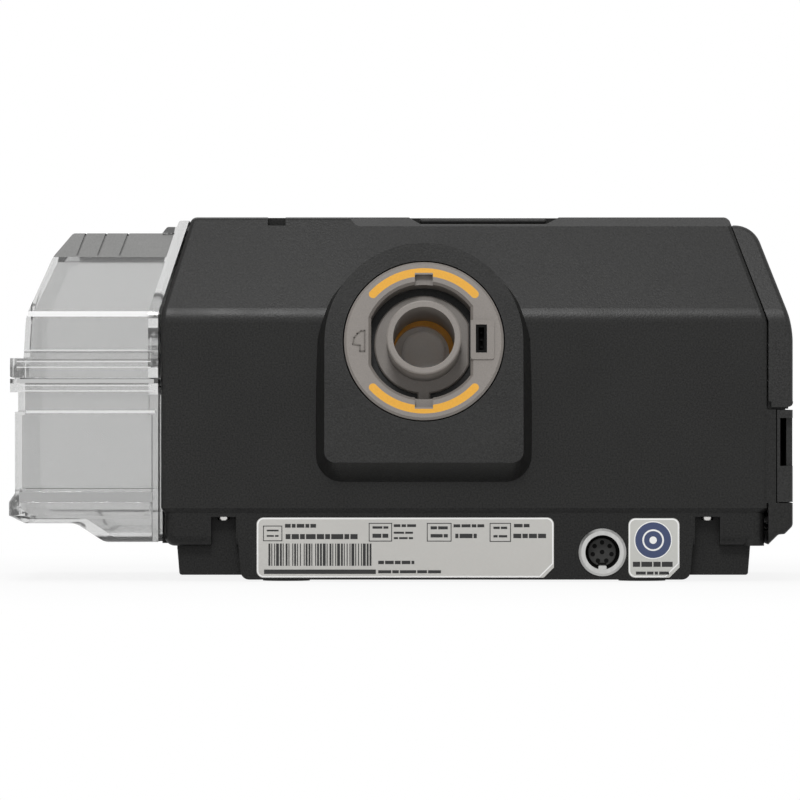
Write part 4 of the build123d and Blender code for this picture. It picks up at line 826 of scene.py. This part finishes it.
@dataclass
class AirOutlet(SubAssembly):
    """Collar, connector and seal of the air outlet, with the marks and walls seen in it."""

    pieces: tuple[str, ...] = ("outlet_collar", "outlet_marks", "outlet_connector", "outlet_seal")
    # The tube socket is all black: painted shade of its deep slot.
    refinished: tuple[tuple[str, str], ...] = (("tube_socket", "hole_black"),)
    origin: Point = (-6.9, 66.0, 71.2)
    tilt: float = 8.0
    mark_face: float = 0.8
    mark_relief: Pair = (0.05, 0.22)
    mark_width: float = 0.42
    mark_path: tuple[Pair, ...] = (
        (-21.0, -1.0), (-20.6, 0.9), (-19.7, 2.1), (-18.6, 2.9), (-17.5, 3.0), (-17.5, -3.1),
        (-18.9, -3.1), (-18.9, -1.4), (-21.0, -1.0),
    )
    wall_radius: float = 6.45
    wall_depth: float = -22.7
    wall_dish: float = 1.6
    wall_rings: int = 6
    wall_sides: int = 64
    wall_thickness: float = 0.8

    def frame(self) -> Matrix:
        """The outlet's frame, with Z along its axis."""
        return rear_frame(*self.origin, self.tilt)

    def collar_mark(self, material: bpy.types.Material) -> None:
        """Small raised outline on the collar, made of short ribs in a darker taupe that paints the shade on
        their edges.

        Args:
            material: Its finish.
        """
        sketch = bmesh.new()
        half = self.mark_width / 2
        low, high = self.mark_face - self.mark_relief[0], self.mark_face + self.mark_relief[1]
        for (u0, v0), (u1, v1) in zip(self.mark_path, self.mark_path[1:]):
            run = Vector((u1 - u0, v1 - v0, 0.0))
            middle = Matrix.Translation(Vector(((u0 + u1) / 2, (v0 + v1) / 2, 0.0)) * MM)
            turn = Matrix.Rotation(math.atan2(run.y, run.x), 4, "Z")
            reach = run.length / 2 + half
            add_box(sketch, self.frame() @ middle @ turn, (-reach, reach, -half, half), (low, high))
        piece_from(sketch, "collar_mark", material, Body.CASING)

    def duct_wall(self, material: bpy.types.Material) -> None:
        """Dished wall of the duct where it turns, behind the seal.

        Args:
            material: Its finish.
        """
        sketch = bmesh.new()
        faces = add_disc(sketch, self.frame(), self.wall_radius, self.wall_depth, self.wall_sides)
        back = bmesh.ops.duplicate(sketch, geom=faces)
        lift(sketch, self.frame(), back, -self.wall_dish - self.wall_thickness)
        step = self.wall_radius / (self.wall_rings + 0.5)
        steepest = self.wall_dish * 2 / self.wall_rings
        for ring in range(self.wall_rings):
            inset(sketch, faces, step, steepest - steepest * (ring + 0.5) / self.wall_rings)
        rims = [edge for edge in sketch.edges if edge.is_boundary]
        bmesh.ops.bridge_loops(sketch, edges=rims)
        piece_from(sketch, "duct_turn_wall", material, Body.CASING, smooth=True)

    def build(self, shop: Workshop) -> None:
        """Make the collar's mark and the duct's wall.

        Args:
            shop: The store of materials.
        """
        self.collar_mark(shop.material("taupe_shade"))
        self.duct_wall(shop.material("wall_plastic"))


@dataclass
class PowerInlet(SubAssembly):
    """Round power inlet: ring, core, key, and black discs that paint the shade of its contact holes."""

    pieces: tuple[str, ...] = ("inlet_ring",)
    # Core and contacts behind the face are black: painted shade of the gap and the holes.
    refinished: tuple[tuple[str, str], ...] = (("inlet_core", "hole_black"), ("inlet_contacts", "hole_black"))
    centre: Pair = (-59.8, 8.7)
    front_y: float = 62.2
    floor: float = -6.5
    bore: float = 5.1
    core_radius: float = 4.15
    core_rise: float = 1.2
    core_round: float = 0.2
    core_sharp: float = 1.0  # radians; edges that turn further are rounded
    hole_radius: float = 0.68
    hole_sides: int = 24
    hole_depth: Pair = (-0.2, 0.04)  # from the disc's face
    hole_ring: float = 2.85
    hole_count: int = 7
    hole_start: float = 90.0
    slot: Span = (-1.25, 1.25, -3.75, -3.15)
    key_width: float = 2.4
    key_reach: float = 3.95
    key_depth: Pair = (-5.4, -0.6)
    key_sink: float = 0.1
    key_round: float = 0.35

    def frame(self) -> Matrix:
        """The inlet's frame, with its origin at the ring's front."""
        return rear_frame(self.centre[0], self.front_y, self.centre[1])

    def core(self, material: bpy.types.Material) -> None:
        """Raised disc on the core, with a clear gap around it.

        Args:
            material: Its finish.
        """
        sketch = bmesh.new()
        add_ring(sketch, self.frame(), (self.core_radius, 0.0), (self.floor, self.floor + self.core_rise))
        closed = [edge for edge in sketch.edges if len(edge.link_faces) == 2]
        rims = [edge for edge in closed if edge.calc_face_angle(0.0) > self.core_sharp]
        round_off(sketch, rims, self.core_round, steps=2)
        piece_from(sketch, "core_face", material, Body.CASING)

    def holes(self, material: bpy.types.Material) -> None:
        """Black discs on the disc that paint the shade of its contact holes, one in the middle and a ring
        around it, and of a slot at the foot.

        Args:
            material: Their finish.
        """
        top = self.floor + self.core_rise
        depth = (top + self.hole_depth[0], top + self.hole_depth[1])
        sketch = bmesh.new()
        add_ring(sketch, self.frame(), (self.hole_radius, 0.0), depth, self.hole_sides)
        for index in range(self.hole_count):
            turn = math.radians(self.hole_start + index * 360 / self.hole_count)
            place = Vector((math.cos(turn), math.sin(turn), 0.0)) * self.hole_ring * MM
            hole = self.frame() @ Matrix.Translation(place)
            add_ring(sketch, hole, (self.hole_radius, 0.0), depth, self.hole_sides)
        add_box(sketch, self.frame(), self.slot, depth)
        piece_from(sketch, "core_hole_shade", material, Body.CASING)

    def key(self, material: bpy.types.Material) -> None:
        """Metal key at the foot of the sleeve.

        Args:
            material: Its finish.
        """
        sketch = bmesh.new()
        half = self.key_width / 2
        foot = -self.bore - self.key_sink
        add_box(sketch, self.frame(), (-half, half, foot, -self.key_reach), self.key_depth)
        edges = [edge for edge in sketch.edges if abs((edge.verts[0].co - edge.verts[1].co).y) > MM]
        round_off(sketch, edges, self.key_round, steps=3)
        piece_from(sketch, "inlet_key", material, Body.CASING)

    def build(self, shop: Workshop) -> None:
        """Make the core's face, its holes and the key.

        Args:
            shop: The store of materials.
        """
        self.core(shop.material("core_plastic"))
        self.holes(shop.material("hole_black"))
        self.key(shop.material("inlet_metal"))


@dataclass(frozen=True)
class PrintLine:
    """A line of small print, shown as plain blocks of uneven length with no letters."""

    left: float
    right: float
    top: float
    bottom: float
    lengths: tuple[int, ...]
    gap: float = 0.34

    def blocks(self) -> list[Span]:
        """Work out the blocks.

        Returns:
            Left, right, top and bottom of each block, from the label's corner.
        """
        unit = (self.right - self.left - self.gap * (len(self.lengths) - 1)) / sum(self.lengths)
        place = self.left
        spots: list[Span] = []
        for length in self.lengths:
            spots.append((place, place + length * unit, self.top, self.bottom))
            place += length * unit + self.gap
        return spots


@dataclass
class RearLabels(SubAssembly):
    """Two labels of the rear panel with generic print as thin raised ink, and a pale border on each that
    paints the highlight along its edge.

    Positions are in millimetres from a label's top left corner, seen from behind.
    """

    pieces: tuple[str, ...] = ("rating_label", "sign_label")
    face_y: float = 61.25
    ink: float = 0.03
    rating_corner: Pair = (42.6, 19.0)
    rating_size: Pair = (88.0, 17.8)
    sign_corner: Pair = (-67.5, 18.8)
    sign_size: Pair = (15.1, 17.6)
    corner_radius: float = 2.0
    corner_steps: int = 6
    clip: float = 4.0
    # Inset and width of the pale border that paints the edge's highlight.
    border: Pair = (0.12, 0.4)
    line: float = 0.24
    lines: tuple[PrintLine, ...] = (
        PrintLine(8.4, 17.6, 1.9, 3.0, (3, 2, 4, 2, 3)),
        PrintLine(8.6, 29.9, 4.9, 6.4, (2, 3, 2, 4, 3, 2, 5, 2, 3)),
        PrintLine(40.6, 47.2, 2.0, 2.8, (3, 2, 4)), PrintLine(40.6, 46.3, 4.2, 4.8, (4, 3)),
        PrintLine(40.6, 46.3, 5.8, 6.4, (2, 4, 2)), PrintLine(58.3, 67.4, 2.0, 2.9, (3, 4, 2, 3)),
        PrintLine(58.8, 65.2, 4.8, 6.1, (1, 4, 1)), PrintLine(76.2, 80.8, 1.9, 2.9, (3, 2)),
        PrintLine(76.0, 85.7, 4.8, 6.1, (3, 2, 3, 3)), PrintLine(36.0, 46.7, 12.8, 13.8, (2, 3, 2, 3, 1)),
        PrintLine(36.0, 54.6, 15.6, 16.5, (4, 2, 5, 3, 4)),
    )
    frames: tuple[Span, ...] = (
        (1.9, 7.6, 2.4, 7.0), (33.2, 40.1, 1.6, 7.1), (50.4, 57.7, 1.6, 7.1), (69.0, 75.3, 1.6, 7.2),
    )
    frame_lines: tuple[PrintLine, ...] = (
        PrintLine(3.0, 6.5, 3.6, 4.1, (1,)), PrintLine(3.0, 6.5, 5.2, 5.7, (2, 1)),
        PrintLine(34.3, 39.0, 2.6, 3.3, (2, 1)), PrintLine(34.3, 39.0, 4.8, 6.0, (3, 2)),
        PrintLine(51.5, 56.6, 2.6, 3.5, (2, 3)), PrintLine(51.5, 56.6, 4.9, 5.9, (3, 1)),
        PrintLine(70.1, 74.2, 2.7, 3.4, (1, 1)), PrintLine(70.1, 74.2, 5.2, 5.9, (1, 2)),
    )
    bars_at: Span = (3.5, 34.0, 7.7, 14.3)
    bar_widths: str = "21121131211221131121121311212113112121311221121131211212113112121131212"
    long_bar: Span = (2.2, 35.3, 15.4, 16.7)
    disc_centre: Pair = (7.3, 6.5)
    disc_radius: float = 5.3
    disc_rings: tuple[Pair, ...] = ((5.6, 5.3), (3.2, 2.7), (1.1, 0.0))
    sign_lines: tuple[PrintLine, ...] = (
        PrintLine(1.3, 13.1, 12.9, 14.4, (2, 3, 2, 3)), PrintLine(2.2, 12.0, 15.8, 16.7, (3, 2, 1, 3)),
    )

    def frame(self, corner: Pair) -> Matrix:
        """The frame of a label, with its origin at the label's top left corner."""
        return rear_frame(corner[0], self.face_y, corner[1])

    def print_spots(self, sketch: bmesh.types.BMesh, corner: Pair, spots: list[Span]) -> None:
        """Print flat spots, given by left, right, top and bottom from the label's corner."""
        for left, right, top, bottom in spots:
            add_box(sketch, self.frame(corner), (left, right, -bottom, -top), (0.0, self.ink))

    def bars(self) -> list[Span]:
        """Work out the field of upright bars.

        Returns:
            Left, right, top and bottom of each bar, from the label's corner.
        """
        left, right, top, bottom = self.bars_at
        pitch = (right - left) / sum(int(step) for step in self.bar_widths)
        place = left
        spots: list[Span] = []
        for index, step in enumerate(self.bar_widths):
            run = int(step) * pitch
            if index % 2 == 0:
                spots.append((place, place + run, top, bottom))
            place += run
        return spots

    def outline_of(self, spot: Span) -> list[Span]:
        """Work out the four thin sides of a frame.

        Args:
            spot: The frame's left, right, top and bottom.

        Returns:
            The same four of each side.
        """
        left, right, top, bottom = spot
        return [
            (left, right, top, top + self.line),
            (left, right, bottom - self.line, bottom),
            (left, left + self.line, top, bottom),
            (right - self.line, right, top, bottom),
        ]

    def rating_print(self, material: bpy.types.Material) -> None:
        """Dark ink of the larger label: blocks, frames, a field of bars and one long bar.

        Args:
            material: The ink.
        """
        sketch = bmesh.new()
        spots = [spot for line in self.lines + self.frame_lines for spot in line.blocks()]
        spots += self.bars()
        spots.append(self.long_bar)
        for spot in self.frames:
            spots += self.outline_of(spot)
        self.print_spots(sketch, self.rating_corner, spots)
        piece_from(sketch, "rating_print", material, Body.CASING)

    def sign_print(self, shop: Workshop) -> None:
        """Print of the smaller label: a blue disc with plain rings, and blocks under it.

        Args:
            shop: The store of materials.
        """
        u, v = self.disc_centre
        place = self.frame(self.sign_corner) @ Matrix.Translation(Vector((u, -v, 0.0)) * MM)
        sketch = bmesh.new()
        add_ring(sketch, place, (self.disc_radius, 0.0), (0.0, self.ink))
        piece_from(sketch, "sign_disc", shop.material("blue_ink"), Body.CASING)
        sketch = bmesh.new()
        for radii in self.disc_rings:
            add_ring(sketch, place, radii, (0.0, 2 * self.ink))
        piece_from(sketch, "sign_rings", shop.material("pale_ink"), Body.CASING)
        sketch = bmesh.new()
        spots = [spot for line in self.sign_lines for spot in line.blocks()]
        self.print_spots(sketch, self.sign_corner, spots)
        piece_from(sketch, "sign_print", shop.material("dark_ink"), Body.CASING)

    def label_border(self, corner: Pair, size: Pair, name: str, material: bpy.types.Material) -> None:
        """Thin pale border just inside a label's edge: a painted highlight of that edge.

        Args:
            corner: The label's top left corner.
            size: Its width and height.
            name: The piece's name.
            material: The ink of the painted highlight.
        """
        sketch = bmesh.new()
        frame = self.frame(corner)
        edge, width = self.border
        right, low = size[0] - edge, -size[1] + edge
        clipped = ((right, low + self.clip), (right - self.clip, low))
        spots = ((edge, -edge), (right, -edge), *clipped, (edge, low))
        points = [sketch.verts.new(frame @ (Vector((u, v, 0.0)) * MM)) for u, v in spots]
        sketch.faces.new(points)
        rounded = [points[0], points[1], points[4]]
        round_off(sketch, rounded, self.corner_radius, self.corner_steps, Rounding.CORNERS)
        plate = sketch.faces[:]
        border = inset(sketch, plate, width)
        bmesh.ops.delete(sketch, geom=plate, context="FACES_ONLY")
        lift(sketch, frame, bmesh.ops.extrude_face_region(sketch, geom=border), self.ink)
        piece_from(sketch, name, material, Body.CASING)

    def build(self, shop: Workshop) -> None:
        """Print both labels and paint a highlight along their edges.

        Args:
            shop: The store of materials.
        """
        self.rating_print(shop.material("dark_ink"))
        self.sign_print(shop)
        pale = shop.material("pale_ink")
        self.label_border(self.rating_corner, self.rating_size, "rating_edge_highlight", pale)
        self.label_border(self.sign_corner, self.sign_size, "sign_edge_highlight", pale)


# ---------------------------------------------------------------- studio
@dataclass
class Lamp:
    """One soft area lamp."""

    name: str
    place: Point
    size: float
    power: float

    def build(self, target: Vector) -> None:
        """Hang the lamp and point it at the machine.

        Args:
            target: The point that it lights.
        """
        data = bpy.data.lights.new(self.name, "AREA")
        data.size = self.size
        data.energy = self.power
        lamp = bpy.data.objects.new(self.name, data)
        lamp.location = self.place
        lamp.visible_transmission = False
        lamp.rotation_mode = "QUATERNION"
        lamp.rotation_quaternion = (Vector(self.place) - target).to_track_quat("Z", "Y")
        bpy.context.scene.collection.objects.link(lamp)


def looked_at(tree: bpy.types.NodeTree) -> bpy.types.NodeSocket:
    """Add a factor that tells the rays that look at a surface from those that light with it.

    Args:
        tree: The node tree to add it to.

    Returns:
        The socket with the factor: 1 for the camera, through clear plastic and in reflections, else 0.
    """
    path = tree.nodes.new("ShaderNodeLightPath")
    factor = path.outputs["Is Camera Ray"]
    for ray in ("Is Transmission Ray", "Is Glossy Ray"):
        either = tree.nodes.new("ShaderNodeMath")
        either.operation = "MAXIMUM"
        tree.links.new(factor, either.inputs[0])
        tree.links.new(path.outputs[ray], either.inputs[1])
        factor = either.outputs[0]
    return factor


def mix_into(
    output: bpy.types.Node, factor: bpy.types.NodeSocket, first: bpy.types.Node, second: bpy.types.Node
) -> None:
    """Mix two shaders into an output.

    Args:
        output: The output node.
        factor: The socket that says how much of the second shader shows.
        first: The shader at 0.
        second: The shader at 1.
    """
    tree = output.id_data
    mix = tree.nodes.new("ShaderNodeMixShader")
    for source, socket in zip((factor, first.outputs[0], second.outputs[0]), mix.inputs):
        tree.links.new(source, socket)
    tree.links.new(mix.outputs[0], output.inputs["Surface"])


@dataclass
class Studio:
    """Pale floor, even backdrop and soft lamps."""

    ambient: float = 0.6
    floor_half: float = 8.0
    floor_tone: float = 0.8
    floor_glow: float = 0.88
    floor_fade: Pair = (0.16, 0.42)
    aim: Point = (0.0, 0.0, 0.06)
    lamps: list[Lamp] = field(
        default_factory=lambda: [
            Lamp("overhead", (0.1, 0.75, 1.25), 0.9, 2.0),
            Lamp("crest", (0.1, 1.4, 1.02), 0.35, 11.0),
            Lamp("front_fill", (0.2, -0.5, 1.5), 1.0, 7.0),
        ]
    )

    def world(self) -> None:
        """White surroundings for the camera and in reflections, softer as light."""
        world = bpy.data.worlds.new("surroundings")
        bpy.context.scene.world = world
        world.use_nodes = True
        tree = world.node_tree
        tree.nodes.clear()
        light = tree.nodes.new("ShaderNodeBackground")
        light.inputs["Strength"].default_value = self.ambient
        seen = tree.nodes.new("ShaderNodeBackground")
        seen.inputs["Color"].default_value = WHITE
        mix_into(tree.nodes.new("ShaderNodeOutputWorld"), looked_at(tree), light, seen)

    def floor_material(self) -> bpy.types.Material:
        """Make the floor's finish, lit near the machine and white further out.

        Returns:
            The material.
        """
        material = bpy.data.materials.new("floor")
        material.use_nodes = True
        tree = material.node_tree
        tree.nodes.clear()
        lit = tree.nodes.new("ShaderNodeBsdfDiffuse")
        lit.inputs["Color"].default_value = (self.floor_tone, self.floor_tone, self.floor_tone, 1.0)
        glow = tree.nodes.new("ShaderNodeEmission")
        glow.inputs["Color"].default_value = WHITE
        away = tree.nodes.new("ShaderNodeVectorMath")
        away.operation = "LENGTH"
        tree.links.new(tree.nodes.new("ShaderNodeTexCoord").outputs["Object"], away.inputs[0])
        fade = tree.nodes.new("ShaderNodeMapRange")
        fade.interpolation_type = "SMOOTHSTEP"
        fade.inputs["From Min"].default_value = self.floor_fade[0]
        fade.inputs["From Max"].default_value = self.floor_fade[1]
        fade.inputs["To Min"].default_value = self.floor_glow
        fade.inputs["To Max"].default_value = 1.0
        tree.links.new(away.outputs["Value"], fade.inputs["Value"])
        share = tree.nodes.new("ShaderNodeMath")
        share.operation = "MULTIPLY"
        tree.links.new(looked_at(tree), share.inputs[0])
        tree.links.new(fade.outputs["Result"], share.inputs[1])
        mix_into(tree.nodes.new("ShaderNodeOutputMaterial"), share.outputs[0], lit, glow)
        return material

    def floor(self) -> None:
        """A wide pale floor that keeps the machine's shadow."""
        sketch = bmesh.new()
        bmesh.ops.create_grid(sketch, x_segments=1, y_segments=1, size=self.floor_half)
        mesh = bpy.data.meshes.new("floor")
        sketch.to_mesh(mesh)
        sketch.free()
        mesh.materials.append(self.floor_material())
        floor = bpy.data.objects.new("floor", mesh)
        bpy.context.scene.collection.objects.link(floor)

    def build(self) -> None:
        """Build the surroundings, the floor and the lamps."""
        self.world()
        self.floor()
        for lamp in self.lamps:
            lamp.build(Vector(self.aim))
        bpy.context.scene.view_settings.view_transform = "Standard"


@dataclass
class RearCamera:
    """A long lens level behind the machine."""

    distance: float = 2.4
    plane_y: float = 0.062
    centre: Pair = (0.00015, 0.0538)
    width: float = 0.2368
    sensor: float = 36.0
    near: float = 0.05

    def build(self) -> None:
        """Place the camera and set the lens so that the frame is the given width at the rear face."""
        data = bpy.data.cameras.new("camera")
        data.sensor_width = self.sensor
        data.lens = self.sensor * self.distance / self.width
        data.clip_start = self.near
        camera = bpy.data.objects.new("camera", data)
        camera.location = (self.centre[0], self.plane_y + self.distance, self.centre[1])
        camera.rotation_euler = (math.pi / 2, 0.0, math.pi)
        bpy.context.scene.collection.objects.link(camera)
        bpy.context.scene.camera = camera


def main() -> None:
    """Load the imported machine, dress it, add its marks and light it."""
    logging.basicConfig(level=logging.INFO, format="%(name)s: %(message)s")
    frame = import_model()
    RearCamera().build()
    Studio().build()
    shop = Workshop(Finishes())
    parts: tuple[SubAssembly, ...] = (
        Casing(), CoveredSide(), ControlFront(), TubBay(), WaterTub(), AirPath(), AirOutlet(), PowerInlet(),
        RearLabels(),
    )
    dressed = 0
    for part in parts:
        dressed += part.dress(frame, shop)
        part.build(shop)


if __name__ == "__main__":
    main()
